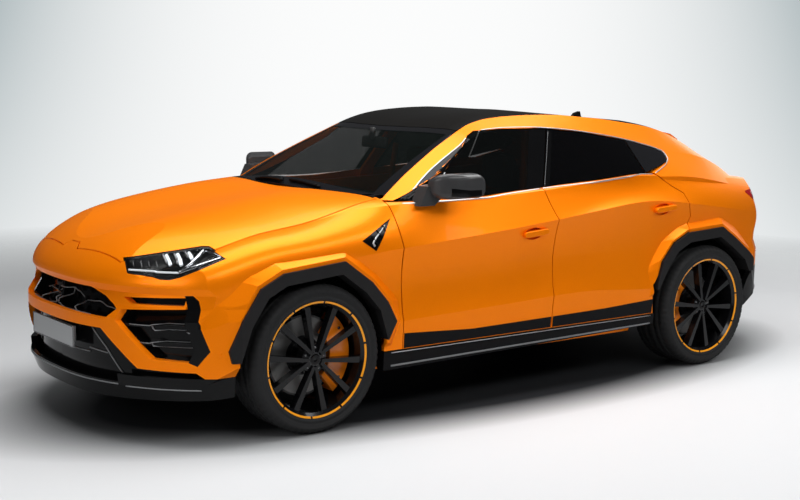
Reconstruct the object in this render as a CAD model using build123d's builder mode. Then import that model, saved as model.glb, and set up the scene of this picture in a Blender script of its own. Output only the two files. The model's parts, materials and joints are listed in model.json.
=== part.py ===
"""A five-door sports utility vehicle, built as separate panels, glass, running gear and cabin.

Frame: +X forward, +Y to the car's left, +Z up, millimetres.
Origin: on the ground, on the centre plane, half way along the car.
"""

from build123d import *
import math
import os

os.makedirs("parts", exist_ok=True)

# ---------------------------------------------------------------- driving dimensions
WHEELBASE = 3003.0
FRONT_OVERHANG = 1030.0
REAR_OVERHANG = 1079.0
HALF_WIDTH = 1008.0  # to the outside of the arch trims
HALF_BODY = 985.0  # to the widest crease of the doors
ROOF_Z = 1638.0
BELT_Z = 1180.0  # belt line at the middle of the doors
SILL_Z = 290.0  # underside of the door sills

SKIN = 25.0  # hood, bumper and fender panels
FRAME_WALL = 45.0  # body side frame
ROOF_WALL = 30.0
GLASS = 5.0
GLASS_INSET = 3.0  # glass lies this far under the surface of the frame round it
SHUT_GAP = 6.0  # between panels that open
SEAT_GAP = 0.3  # between pieces that are clipped or bonded to each other

DOOR_INNER_Y = 850.0  # inner face of the doors
DOOR_BOTTOM_Z = 385.0
HINGE_SETBACK = 80.0  # hinge axis behind the door's leading edge
HINGE_INSET = 35.0  # hinge axis in from HALF_BODY
EDGE_FLANGE = 8.0  # panel edges at the shut lines
EDGE_REBATE = 14.0
FRAME_IN_Y = 735.0  # cabin side of the door posts
FRAME_OUT_Y = 785.0

FRONT_TYRE_D = 784.0
REAR_TYRE_D = 780.0
FRONT_TYRE_W = 285.0
REAR_TYRE_W = 300.0
FRONT_TRACK = 1695.0
REAR_TRACK = 1710.0
RIM_R = 306.0  # outside of the rim's flange
BEAD_R = 292.0  # where the tyre sits
RIM_WALL = 12.0
DISC_R = 215.0
DISC_T = 36.0
HUB_R = 75.0
AXLE_R = 30.0
BEARING_GAP = 0.05
KINGPIN_INSET = 70.0  # steering axis inside the wheel's middle plane

TRIM_WIDTH = 64.0  # of the arch trims, seen from the side
FLOOR_Z = 235.0
FLOOR_T = 60.0

LENGTH = WHEELBASE + FRONT_OVERHANG + REAR_OVERHANG
NOSE = LENGTH / 2
TAIL = -LENGTH / 2
FRONT_AXLE = NOSE - FRONT_OVERHANG
REAR_AXLE = TAIL + REAR_OVERHANG
FRONT_AXLE_Z = FRONT_TYRE_D / 2
REAR_AXLE_Z = REAR_TYRE_D / 2
FRONT_WHEEL_Y = FRONT_TRACK / 2
REAR_WHEEL_Y = REAR_TRACK / 2
FAR = 3000.0  # past everything


def front(dx):
    """A place along the car, measured from the front axle."""
    return FRONT_AXLE + dx


def rear(dx):
    """A place along the car, measured from the rear axle."""
    return REAR_AXLE + dx


# ---------------------------------------------------------------- body lines
# Each row: place along the car, how far in from HALF_BODY, height. Tail to nose.
CROWN = [
    (rear(-1123), BELT_Z - 50), (rear(-823), BELT_Z - 30), (rear(0), BELT_Z + 20),
    (rear(677), BELT_Z), (front(-926), BELT_Z), (front(-326), BELT_Z + 22),
    (front(0), BELT_Z - 10), (front(274), BELT_Z - 50), (front(534), BELT_Z - 98),
    (front(724), BELT_Z - 150), (front(894), BELT_Z - 222), (front(1074), BELT_Z - 330),
]
RIDGE = [
    (rear(-1123), 485, BELT_Z - 60), (rear(-823), 465, BELT_Z - 30), (rear(0), 425, BELT_Z + 20),
    (rear(677), 425, BELT_Z), (front(-926), 425, BELT_Z), (front(-376), 425, BELT_Z + 28),
    (front(0), 430, BELT_Z - 5), (front(274), 445, BELT_Z - 45), (front(534), 470, BELT_Z - 97),
    (front(724), 500, BELT_Z - 160), (front(894), 540, BELT_Z - 240), (front(1074), 590, BELT_Z - 350),
]
EDGE = [
    (rear(-1123), 285, BELT_Z - 90), (rear(-823), 245, BELT_Z - 50), (rear(-423), 185, BELT_Z + 10),
    (rear(0), 135, BELT_Z + 30), (rear(517), 100, BELT_Z + 65), (rear(1297), 87, BELT_Z + 16),
    (front(-1186), 85, BELT_Z - 12), (front(-576), 87, BELT_Z - 20), (front(-426), 135, BELT_Z - 30),
    (front(0), 180, BELT_Z - 105), (front(350), 185, BELT_Z - 158), (front(534), 215, BELT_Z - 215),
    (front(724), 285, BELT_Z - 285), (front(894), 345, BELT_Z - 370), (front(1074), 385, BELT_Z - 470),
]
CREST = [
    (rear(-1123), 225, BELT_Z - 180), (rear(-823), 165, BELT_Z - 140), (rear(-423), 95, BELT_Z - 100),
    (rear(0), 50, BELT_Z - 80), (rear(517), 35, BELT_Z - 70), (rear(1297), 35, BELT_Z - 100),
    (front(-1186), 35, BELT_Z - 130), (front(-576), 35, BELT_Z - 145), (front(-426), 40, BELT_Z - 150),
    (front(0), 40, BELT_Z - 195), (front(350), 50, BELT_Z - 235), (front(534), 85, BELT_Z - 280),
    (front(724), 145, BELT_Z - 330), (front(894), 205, BELT_Z - 400), (front(1074), 265, BELT_Z - 500),
]
CREASE = [
    (rear(-1123), 225, BELT_Z - 280), (rear(-823), 155, BELT_Z - 240), (rear(-423), 65, BELT_Z - 195),
    (rear(0), 25, BELT_Z - 140), (rear(517), 10, BELT_Z - 86), (rear(1327), 0, BELT_Z - 155),
    (front(-1186), 0, BELT_Z - 198), (front(-556), 10, BELT_Z - 246), (front(-226), 20, BELT_Z - 280),
    (front(0), 25, BELT_Z - 320), (front(350), 35, BELT_Z - 360), (front(534), 55, BELT_Z - 400),
    (front(724), 125, BELT_Z - 440), (front(894), 185, BELT_Z - 480), (front(1074), 245, BELT_Z - 560),
]
WAIST = [
    (rear(-1123), 225, 700), (rear(-823), 145, 700), (rear(-423), 55, 760), (rear(0), 35, 760),
    (rear(517), 30, 740), (rear(1327), 30, 720), (front(-1186), 30, 710), (front(-556), 30, 690),
    (front(0), 35, 660), (front(350), 35, 640), (front(534), 55, 620), (front(724), 115, 600),
    (front(894), 175, 560), (front(1074), 245, 520),
]
FLARE = [
    (rear(-1123), 225, 500), (rear(-823), 145, 540), (rear(-423), 35, 560), (rear(0), 15, 560),
    (rear(612), 0, 545), (rear(1057), 0, 580), (front(-1186), 0, 560), (front(-556), 5, 540),
    (front(0), 20, 500), (front(350), 25, 480), (front(534), 45, 460), (front(724), 105, 440),
    (front(894), 165, 420), (front(1074), 245, 400),
]
SILL = [
    (rear(-1123), 245, SILL_Z + 10), (rear(-823), 165, SILL_Z + 40), (rear(-423), 55, SILL_Z + 50),
    (rear(0), 25, SILL_Z + 40), (rear(977), 20, SILL_Z + 15), (front(-1186), 20, SILL_Z),
    (front(-556), 20, SILL_Z - 10), (front(0), 30, SILL_Z - 20), (front(350), 35, SILL_Z - 30),
    (front(534), 55, SILL_Z - 40), (front(724), 105, SILL_Z - 50), (front(894), 165, SILL_Z - 60),
    (front(1074), 245, SILL_Z - 70),
]
BODY_STATIONS = [
    rear(-1123), rear(-823), rear(-423), rear(-123), rear(177), rear(517), rear(977), rear(1477),
    front(-1026), front(-556), front(-276), front(0), front(274), front(534), front(724), front(894),
    front(1074),
]

# The cabin above the belt: crown, roof edge, top of the side windows, belt.
ROOF_CROWN = [
    (rear(-1123), ROOF_Z - 638), (rear(-773), ROOF_Z - 488), (rear(-483), ROOF_Z - 348),
    (rear(-169), ROOF_Z - 183), (rear(77), ROOF_Z - 108), (rear(377), ROOF_Z - 53),
    (rear(747), ROOF_Z - 13), (rear(1177), ROOF_Z), (front(-1526), ROOF_Z - 6),
    (front(-1306), ROOF_Z - 36), (front(-1106), ROOF_Z - 98), (front(-826), ROOF_Z - 208),
    (front(-526), ROOF_Z - 348), (front(-276), ROOF_Z - 478), (front(-76), ROOF_Z - 548),
]
ROOF_EDGE = [
    (rear(-1123), 465, ROOF_Z - 648), (rear(-773), 425, ROOF_Z - 508), (rear(-483), 405, ROOF_Z - 373),
    (rear(-169), 405, ROOF_Z - 213), (rear(47), 405, ROOF_Z - 133), (rear(377), 405, ROOF_Z - 78),
    (rear(747), 405, ROOF_Z - 36), (rear(1097), 405, ROOF_Z - 20), (front(-1573), 405, ROOF_Z - 28),
    (front(-1336), 397, ROOF_Z - 58), (front(-1236), 390, ROOF_Z - 90), (front(-1006), 335, ROOF_Z - 198),
    (front(-776), 275, ROOF_Z - 313), (front(-526), 205, ROOF_Z - 466), (front(-276), 185, ROOF_Z - 660),
    (front(-76), 185, ROOF_Z - 800),
]
WINDOW_TOP = [
    (rear(-1123), 345, ROOF_Z - 678), (rear(-773), 285, ROOF_Z - 543), (rear(-483), 265, ROOF_Z - 423),
    (rear(-169), 263, ROOF_Z - 298), (rear(197), 269, ROOF_Z - 246), (rear(527), 273, ROOF_Z - 175),
    (rear(887), 279, ROOF_Z - 123), (rear(1227), 283, ROOF_Z - 93), (front(-1451), 283, ROOF_Z - 97),
    (front(-1266), 273, ROOF_Z - 126), (front(-1146), 250, ROOF_Z - 183), (front(-976), 210, ROOF_Z - 288),
    (front(-776), 155, ROOF_Z - 393), (front(-576), 108, ROOF_Z - 478), (front(-276), 165, ROOF_Z - 700),
    (front(-76), 165, ROOF_Z - 830),
]
BELT = [
    (rear(-1123), 245, BELT_Z - 280), (rear(-773), 185, BELT_Z - 130), (rear(-483), 149, BELT_Z - 50),
    (rear(-169), 119, BELT_Z + 10), (rear(197), 104, BELT_Z + 50), (rear(517), 101, BELT_Z + 55),
    (rear(1297), 99, BELT_Z), (front(-1186), 98, BELT_Z - 30), (front(-576), 100, BELT_Z - 40),
    (front(-276), 160, BELT_Z - 280), (front(-76), 160, BELT_Z - 380),
]
CABIN_STATIONS = [
    rear(-1123), rear(-773), rear(-483), rear(-169), rear(77), rear(377), rear(747), rear(1177),
    front(-1526), front(-1336), front(-1236), front(-1106), front(-926), front(-726), front(-526),
    front(-276), front(-76),
]

# Nose and tail seen from above: how far behind the tip, how far out.
NOSE_PLAN = [(0, 0), (6, 200), (26, 340), (94, 540), (226, 750), (416, 920), (520, 975), (640, 1015)]
TAIL_PLAN = [(0, 0), (12, 250), (60, 460), (160, 640), (276, 750), (400, 850), (530, 940), (660, 1015)]
# How far nose and tail lie behind the tips at each height.
NOSE_LEAN = [(100, 90), (300, 12), (400, 0), (640, 0), (700, 40), (765, 50), (800, 30), (876, 60),
             (942, 126), (1010, 230), (1172, 600), (1260, 800), (1700, 1800)]
TAIL_LEAN = [(100, 300), (320, 145), (410, 10), (690, 10), (770, 45), (920, 20), (1093, 94),
             (1172, 170), (1260, 250), (1700, 700)]
LOW_LEVELS = [100, 300, 400, 640, 700, 765, 800]
HIGH_LEVELS = [800, 876, 942, 1010, 1093, 1172, 1260, 1500, 1700]

# Arch trims seen from the side, from the axle: outer outline.
FRONT_ARCH = [(508, 434), (522, 495), (463, 637), (355, 795), (221, 861), (-150, 896), (-324, 772),
              (-427, 658), (-486, 550), (-434, 455)]
REAR_ARCH = [(481, 538), (474, 585), (436, 708), (334, 820), (198, 881), (-125, 898), (-261, 816),
             (-400, 720), (-466, 660), (-460, 590)]
# Front and rear end of each opening under the trims, from the axle.
FRONT_MOUTH = (469, -428)
REAR_MOUTH = (465, -408)
# Where the flares run out into the doors and fenders.
FRONT_FLARE = [(650, 300), (700, 500), (620, 720), (470, 890), (290, 960), (-190, 985), (-350, 930),
               (-520, 760), (-670, 635), (-600, 430), (-560, 260)]
REAR_FLARE = [(660, 300), (700, 560), (450, 860), (240, 975), (-200, 995), (-400, 890), (-560, 720),
              (-620, 540), (-600, 300)]


def line_at(rows, x):
    """The values of a body line at x: a smooth curve through its rows."""
    if x <= rows[0][0]:
        return rows[0][1:]
    if x >= rows[-1][0]:
        return rows[-1][1:]
    i = max(k for k in range(len(rows) - 1) if rows[k][0] <= x)
    span = rows[i + 1][0] - rows[i][0]
    t = (x - rows[i][0]) / span

    def slope(j, c):
        before = None if j == 0 else (rows[j][c] - rows[j - 1][c]) / (rows[j][0] - rows[j - 1][0])
        after = None if j == len(rows) - 1 else (rows[j + 1][c] - rows[j][c]) / (rows[j + 1][0] - rows[j][0])
        if before is None:
            return after
        if after is None:
            return before
        return 0.0 if before * after <= 0 else 2 * before * after / (before + after)

    values = []
    for c in range(1, len(rows[0])):
        start, end = rows[i][c], rows[i + 1][c]
        values.append(
            (2 * t**3 - 3 * t**2 + 1) * start
            + (t**3 - 2 * t**2 + t) * span * slope(i, c)
            + (3 * t**2 - 2 * t**3) * end
            + (t**3 - t**2) * span * slope(i + 1, c)
        )
    return tuple(values)


def side_point(rows, x, depth):
    """A point (y, z) of a body line at x, moved in by depth."""
    inset, z = line_at(rows, x)
    return (HALF_BODY - inset - depth, z)


# ---------------------------------------------------------------- prisms used as cutters
def side_prism(points, y_in, y_out, taper=0.0):
    """An outline (x, z) carried from y_out in to y_in."""
    with BuildPart() as prism:
        with BuildSketch(Plane.XZ.offset(-y_out)):
            with BuildLine():
                Polyline(*points, close=True)
            make_face()
        extrude(amount=y_out - y_in, taper=taper)
    return prism.part


def front_prism(points, x_back, x_front):
    """An outline (y, z) carried from x_back to x_front."""
    with BuildPart() as prism:
        with BuildSketch(Plane.YZ.offset(x_back)):
            with BuildLine():
                Polyline(*points, close=True)
            make_face()
        extrude(amount=x_front - x_back)
    return prism.part


def plan_prism(points, z_low, z_high):
    """An outline (x, y) carried from z_low to z_high."""
    with BuildPart() as prism:
        with BuildSketch(Plane.XY.offset(z_low)):
            with BuildLine():
                Polyline(*points, close=True)
            make_face()
        extrude(amount=z_high - z_low)
    return prism.part


def block(x_low, x_high, y_low, y_high, z_low, z_high):
    """A plain block between two corners."""
    with BuildPart() as solid:
        with Locations(((x_low + x_high) / 2, (y_low + y_high) / 2, (z_low + z_high) / 2)):
            Box(x_high - x_low, y_high - y_low, z_high - z_low)
    return solid.part


def common(*solids):
    """What several solids share."""
    with BuildPart() as shared:
        add(solids[0])
        for other in solids[1:]:
            add(other, mode=Mode.INTERSECT)
    return shared.part


def without(solid, *cutters):
    """A solid with others cut away."""
    with BuildPart() as rest:
        add(solid)
        for cutter in cutters:
            add(cutter, mode=Mode.SUBTRACT)
    return rest.part


def both_sides(half):
    """A half made whole by its mirror image."""
    with BuildPart() as whole:
        add(half)
        mirror(about=Plane.XZ)
    return whole.part


def grown(points, amount):
    """An outline with every side moved out by amount, or in when it is negative."""
    area = sum(a[0] * b[1] - b[0] * a[1] for a, b in zip(points, points[1:] + points[:1]))
    turn = 1 if area > 0 else -1
    moved = []
    for i, here in enumerate(points):
        before, after = points[i - 1], points[(i + 1) % len(points)]
        normals = []
        for a, b in ((before, here), (here, after)):
            size = math.hypot(b[0] - a[0], b[1] - a[1])
            normals.append((turn * (b[1] - a[1]) / size, -turn * (b[0] - a[0]) / size))
        bisector = (normals[0][0] + normals[1][0], normals[0][1] + normals[1][1])
        scale = 2 * amount / (bisector[0] ** 2 + bisector[1] ** 2)
        moved.append((here[0] + bisector[0] * scale, here[1] + bisector[1] * scale))
    return moved


def about_axle(points, axle):
    """An outline given from an axle, in the car's own frame."""
    return [(axle + dx, z) for dx, z in points]


# ---------------------------------------------------------------- master forms (left half)
def plan_block(levels, depth, ruled):
    """The space between nose and tail, curved in plan and leaning with height."""
    with BuildPart() as solid:
        for z in levels:
            nose = NOSE - line_at(NOSE_LEAN, z)[0] - depth
            tail = TAIL + line_at(TAIL_LEAN, z)[0] + depth
            nose_curve = [(nose - back, out) for back, out in NOSE_PLAN]
            tail_curve = [(tail + back, out) for back, out in TAIL_PLAN]
            wide = HALF_WIDTH + 100
            with BuildSketch(Plane.XY.offset(z)):
                with BuildLine():
                    Spline(*nose_curve, tangents=[(0, 1), (-1, 0.2)])
                    Line(nose_curve[-1], (front(-500), wide))
                    Line((front(-500), wide), (rear(500), wide))
                    Line((rear(500), wide), tail_curve[-1])
                    Spline(*tail_curve, tangents=[(0, 1), (1, 0.5)])
                    Line(tail_curve[0], nose_curve[0])
                make_face()
        loft(ruled=ruled)
    return solid.part


def lower_body(depth):
    """The body below the belt, its skin moved in by depth."""
    with BuildPart() as solid:
        for x in BODY_STATIONS:
            crown = (0, line_at(CROWN, x)[0] - depth)
            ridge, edge, crest, crease, waist, flare, sill = (
                side_point(rows, x, depth) for rows in (RIDGE, EDGE, CREST, CREASE, WAIST, FLARE, SILL)
            )
            ridge = (ridge[0], ridge[1] - depth)
            edge = (edge[0], edge[1] - depth)
            with BuildSketch(Plane.YZ.offset(x)):
                with BuildLine():
                    Spline(crown, ridge, edge, tangents=[(1, 0), (1, -0.6)])
                    Spline(edge, crest, crease)
                    Spline(crease, waist, flare)
                    Line(flare, sill)
                    Line(sill, (0, sill[1]))
                    Line((0, sill[1]), crown)
                make_face()
        loft()
    return solid.part


def flare(base, top, axle, depth):
    """A faceted bulge round a wheel arch."""
    with BuildPart() as solid:
        for points, y in ((base, HALF_BODY - 95 - depth), (top, HALF_WIDTH - 14 - depth)):
            with BuildSketch(Plane.XZ.offset(-y)):
                with BuildLine():
                    Polyline(*about_axle(points, axle), close=True)
                make_face()
        loft(ruled=True)
    return solid.part


def body_form(depth):
    """The whole lower body with its flares, trimmed to the nose and tail."""
    with BuildPart() as flared:
        add(lower_body(depth))
        add(flare(FRONT_FLARE, grown(FRONT_ARCH, 20), FRONT_AXLE, depth))
        add(flare(REAR_FLARE, grown(REAR_ARCH, 20), REAR_AXLE, depth))
    with BuildPart() as solid:
        add(common(flared.part, plan_block(LOW_LEVELS, depth, True)))
        add(common(flared.part, plan_block(HIGH_LEVELS, depth, False)))
    return solid.part


def cabin_form(depth):
    """The cabin above the belt, its skin moved in by depth."""
    with BuildPart() as solid:
        for x in CABIN_STATIONS:
            crown = (0, line_at(ROOF_CROWN, x)[0] - depth)
            edge = side_point(ROOF_EDGE, x, depth)
            edge = (edge[0], edge[1] - depth)
            top = side_point(WINDOW_TOP, x, depth)
            top = (top[0], top[1] - depth * 0.4)
            belt = side_point(BELT, x, depth)
            with BuildSketch(Plane.YZ.offset(x)):
                with BuildLine():
                    Spline(crown, edge, tangents=[(1, 0), (1, -0.25)])
                    Line(edge, top)
                    Line(top, belt)
                    Line(belt, (belt[0], 700))
                    Line((belt[0], 700), (0, 700))
                    Line((0, 700), crown)
                make_face()
        loft()
    return solid.part


# ---------------------------------------------------------------- forms
BODY = body_form(0.0)
BODY_SKIN = body_form(SKIN)
BODY_FRAME = body_form(FRAME_WALL)
CABIN_LIMIT = plan_block(HIGH_LEVELS, 0.0, False)
CABIN_BELOW = plan_block(LOW_LEVELS, 0.0, True)


def trimmed_cabin(depth):
    """The cabin form kept inside the nose and tail."""
    return common(cabin_form(depth), CABIN_LIMIT)


CABIN = trimmed_cabin(0.0)
CABIN_FRAME = trimmed_cabin(FRAME_WALL)
CABIN_ROOF = trimmed_cabin(ROOF_WALL)
CABIN_GLASS = trimmed_cabin(GLASS_INSET)
CABIN_GLASS_IN = trimmed_cabin(GLASS_INSET + GLASS)

# ---------------------------------------------------------------- outlines of the panels
# Side view (x, z).
FRONT_DOOR = [
    (front(-508), BELT_Z - 8), (front(-553), BELT_Z - 246), (front(-552), BELT_Z - 678),
    (front(-552), DOOR_BOTTOM_Z), (rear(1357), DOOR_BOTTOM_Z), (rear(1357), BELT_Z - 666),
    (rear(1328), BELT_Z - 161), (rear(1376), BELT_Z + 26), (rear(1627), BELT_Z + 8),
    (front(-1186), BELT_Z - 8), (front(-590), BELT_Z - 11),
]
REAR_DOOR = [
    (rear(1370), BELT_Z + 26), (rear(1322), BELT_Z - 161), (rear(1351), BELT_Z - 666),
    (rear(1351), DOOR_BOTTOM_Z), (rear(480), DOOR_BOTTOM_Z), (rear(505), 570), (rear(334), 820),
    (rear(198), 881), (rear(146), BELT_Z - 200), (rear(191), BELT_Z - 55), (rear(263), BELT_Z - 17),
    (rear(406), BELT_Z + 74), (rear(518), BELT_Z + 79), (rear(900), BELT_Z + 50),
]
WINDOW_LINE = [
    (front(-572), BELT_Z - 20), (front(-572), BELT_Z - 6), (front(-984), ROOF_Z - 305),
    (front(-1145), ROOF_Z - 181), (front(-1215), ROOF_Z - 130), (front(-1275), ROOF_Z - 104),
    (front(-1451), ROOF_Z - 93),
    (rear(1226), ROOF_Z - 92), (rear(883), ROOF_Z - 122), (rear(521), ROOF_Z - 173),
    (rear(195), ROOF_Z - 245), (rear(165), ROOF_Z - 275), (rear(185), ROOF_Z - 318),
    (rear(406), BELT_Z + 76), (rear(406), BELT_Z - 20),
]
B_POST_FOOT = rear(1352)
B_POST_HEAD = rear(1187)
QUARTER_BAR = [(rear(505), ROOF_Z - 175), (rear(466), BELT_Z + 88)]

# Plan view (x, y).
HOOD_SIDE_Y = HALF_BODY - 185
LAMP_INNER = (NOSE - 167, 500)
LAMP_KINK = (front(503), HOOD_SIDE_Y - 8)
HOOD = [
    (front(-356), 0), (front(-362), 250), (front(-396), 460), (front(-441), 640), (front(-473), 750),
    (front(-482), HOOD_SIDE_Y), (front(0), HOOD_SIDE_Y), (front(350), HOOD_SIDE_Y - 3), LAMP_KINK,
    LAMP_INNER, (NOSE - 118, 90), (NOSE - 151, 50), (NOSE - 151, 0),
]
SCREEN_TOP = [(front(-1106), 0), (front(-1122), 250), (front(-1160), 450), (front(-1203), 600)]
SCREEN_BASE = [(front(-378), 0), (front(-384), 250), (front(-418), 460), (front(-463), 640), (front(-490), 730)]
ROOF_REAR = rear(117)
TAILGATE_HALF = 590.0

DOOR_HINGE_Y = HALF_BODY - HINGE_INSET
FRONT_HINGE_X = front(-553) - HINGE_SETBACK
REAR_HINGE_X = rear(1322) - HINGE_SETBACK


def roof_edge_y(x):
    """Half width of the roof and the windscreen at x."""
    return HALF_BODY - line_at(ROOF_EDGE, x)[0]


def edge_row(x_start, x_end, count, extra=0.0):
    """Points along the roof edge in plan."""
    step = (x_end - x_start) / count
    return [(x_start + i * step, roof_edge_y(x_start + i * step) + extra) for i in range(count + 1)]


def arch_opening(points, mouth, axle, amount=0.0):
    """The hole that a wheel stands in, open downwards, grown by amount."""
    inner = grown(points, amount - TRIM_WIDTH)[2:-2]
    front_x, rear_x = mouth[0] + amount, mouth[1] - amount
    return about_axle(
        [(front_x, -100), (front_x, points[0][1] + amount)] + inner
        + [(rear_x, points[-1][1] + amount), (rear_x, -100)], axle)


def arch_cut(points, mouth, axle, y_in, gap=0.0):
    """What panels leave free for an arch trim and the opening under it."""
    trim_space = side_prism(about_axle(grown(points, gap), axle), y_in, FAR)
    return trim_space + side_prism(arch_opening(points, mouth, axle, gap), y_in, FAR)


FRONT_WHEEL_IN_Y = 480.0  # the wheelhouses reach this far in
REAR_WHEEL_IN_Y = 620.0
FRONT_ARCH_CUT = arch_cut(FRONT_ARCH, FRONT_MOUTH, FRONT_AXLE, FRONT_WHEEL_IN_Y)
REAR_ARCH_CUT = arch_cut(REAR_ARCH, REAR_MOUTH, REAR_AXLE, REAR_WHEEL_IN_Y)
REAR_DOOR_ARCH_CUT = arch_cut(REAR_ARCH, REAR_MOUTH, REAR_AXLE, REAR_WHEEL_IN_Y, SHUT_GAP)

# ---------------------------------------------------------------- doors
FRONT_HINGE_HEIGHTS = (545.0, 940.0)
REAR_HINGE_HEIGHTS = (545.0, 1010.0)
HINGE_TALL = 30.0
PIN_R = 6.0
BOSS_R = 11.0
BORE_R = PIN_R + BEARING_GAP
PIN_Y = DOOR_HINGE_Y
HANDLE_LENGTH = 190.0


def finish(node, name):
    """Name a finished piece and write it out."""
    node.part.label = name
    export_step(node.part, f"parts/{name}.step")


def other_side(piece):
    """The same piece on the car's right."""
    return mirror(piece, about=Plane.XZ)


def write_pair(left, name):
    """Write a left piece and its mirror image."""
    with BuildPart() as left_piece:
        add(left)
    finish(left_piece, f"{name}_left")
    with BuildPart() as right_piece:
        add(other_side(left))
    finish(right_piece, f"{name}_right")


def shifted_in(solid, amount):
    """A left-hand form moved towards the centre plane."""
    return Pos(0, -amount, 0) * solid


def edge_rebate(outline):
    """What is cut from behind a door's edges, leaving thin flanges at the shut lines."""
    core = grown(outline, -EDGE_REBATE)
    raised = [(x, z + 3 * EDGE_REBATE) for x, z in core]
    with BuildPart() as rebate:
        add(side_prism(outline, DOOR_INNER_Y, FAR))
        add(side_prism(core, DOOR_INNER_Y - 10, FAR), mode=Mode.SUBTRACT)
        add(side_prism(raised, DOOR_INNER_Y - 10, FAR), mode=Mode.SUBTRACT)
        add(shifted_in(BODY, EDGE_FLANGE), mode=Mode.INTERSECT)
    return rebate.part


def pull_handle(x, z):
    """A pull handle in its bowl, seen on the door's skin."""
    with BuildPart() as handle:
        with BuildSketch(Plane.XZ.offset(-(HALF_BODY - 45))):
            with Locations((x, z)):
                SlotOverall(HANDLE_LENGTH, 34, rotation=-4)
        extrude(amount=-(45 + 12))
        fillet(handle.edges().group_by(Axis.Y)[-1], 5)
    return handle.part


def handle_bowl(x, z):
    """The hollow behind the pull handle."""
    with BuildPart() as bowl:
        with BuildSketch(Plane.XZ.offset(-(HALF_BODY - 38))):
            with Locations((x + 12, z - 2)):
                Ellipse(72, 36)
        extrude(amount=-100)
    return bowl.part


def door_panel(outline, hinge_x, hinge_heights, lead_x, handle_x, handle_z):
    """A door without glass: a thick panel with pockets for its two hinges."""
    half = HINGE_TALL / 2 + 6
    with BuildPart() as door:
        add(BODY)
        add(side_prism(outline, DOOR_INNER_Y, FAR), mode=Mode.INTERSECT)
        add(edge_rebate(outline), mode=Mode.SUBTRACT)
        add(REAR_DOOR_ARCH_CUT, mode=Mode.SUBTRACT)
        add(handle_bowl(handle_x, handle_z), mode=Mode.SUBTRACT)
        add(pull_handle(handle_x, handle_z))
        for z in hinge_heights:
            pocket_back = hinge_x - BOSS_R - 6
            add(
                block(pocket_back, lead_x + 80, DOOR_INNER_Y - 60, PIN_Y + BOSS_R + 6, z - half, z + half),
                mode=Mode.SUBTRACT,
            )
            with Locations((hinge_x, PIN_Y, z)):
                Cylinder(PIN_R, 2 * half)
    return door.part


def door_hinges(hinge_x, hinge_heights):
    """The brackets on the door post that carry the door's pins."""
    with BuildPart() as hinges:
        for z in hinge_heights:
            with BuildSketch(Plane.XY.offset(z - HINGE_TALL / 2)):
                with Locations((hinge_x, PIN_Y)):
                    Circle(BOSS_R)
                with Locations((hinge_x, (PIN_Y + FRAME_OUT_Y) / 2)):
                    Rectangle(2 * BOSS_R - 4, PIN_Y - FRAME_OUT_Y)
                with Locations((hinge_x, PIN_Y)):
                    Circle(BORE_R, mode=Mode.SUBTRACT)
            extrude(amount=HINGE_TALL)
    return hinges.part


front_door = door_panel(
    FRONT_DOOR, FRONT_HINGE_X, FRONT_HINGE_HEIGHTS, front(-553), front(-1500), BELT_Z - 225)
rear_door = door_panel(REAR_DOOR, REAR_HINGE_X, REAR_HINGE_HEIGHTS, rear(1322), rear(405), BELT_Z - 140)
write_pair(front_door, "door_front")
write_pair(rear_door, "door_rear")


# ---------------------------------------------------------------- glass
def side_glass(outline):
    """A pane of side glass, following the cabin's side."""
    with BuildPart() as pane:
        add(CABIN_GLASS)
        add(CABIN_GLASS_IN, mode=Mode.SUBTRACT)
        add(side_prism(outline, 560, FAR), mode=Mode.INTERSECT)
        add(BODY, mode=Mode.SUBTRACT)
    return pane.part


SILL_LINE = BELT_Z - 60
FRONT_PANE = [(front(-578), SILL_LINE), (front(-578), BELT_Z - 6)] + [
    (x, z - SHUT_GAP) for x, z in WINDOW_LINE[2:7]
] + [
    (rear(1226), ROOF_Z - 92 - SHUT_GAP), (B_POST_HEAD + 3, ROOF_Z - 95 - SHUT_GAP),
    (B_POST_FOOT + 3, BELT_Z + 20), (B_POST_FOOT + 3, SILL_LINE),
]
REAR_PANE = [
    (B_POST_FOOT - 3, SILL_LINE), (B_POST_FOOT - 3, BELT_Z + 20),
    (B_POST_HEAD - 3, ROOF_Z - 95 - SHUT_GAP), (rear(883), ROOF_Z - 122 - SHUT_GAP),
    (QUARTER_BAR[0][0] + 12, ROOF_Z - 176 - SHUT_GAP), (QUARTER_BAR[1][0] + 12, BELT_Z + 90),
    (rear(478), SILL_LINE),
]
QUARTER_PANE = [
    (QUARTER_BAR[0][0] - 1, ROOF_Z - 176), WINDOW_LINE[10], WINDOW_LINE[11], WINDOW_LINE[12],
    (QUARTER_BAR[1][0] - 1, BELT_Z + 84),
]
write_pair(side_glass(FRONT_PANE), "glass_front")
write_pair(side_glass(REAR_PANE), "glass_rear")

screen_sides = edge_row(front(-1203), front(-546), 5, -SEAT_GAP)
SCREEN = SCREEN_TOP[:-1] + screen_sides + list(reversed(SCREEN_BASE))
with BuildPart() as body_glass:
    add(CABIN_GLASS)
    add(CABIN_GLASS_IN, mode=Mode.SUBTRACT)
    add(plan_prism(SCREEN, 900, 1700), mode=Mode.INTERSECT)
    add(BODY, mode=Mode.SUBTRACT)
    add(side_glass(QUARTER_PANE))
    mirror(about=Plane.XZ)
finish(body_glass, "body_glass")

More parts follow.
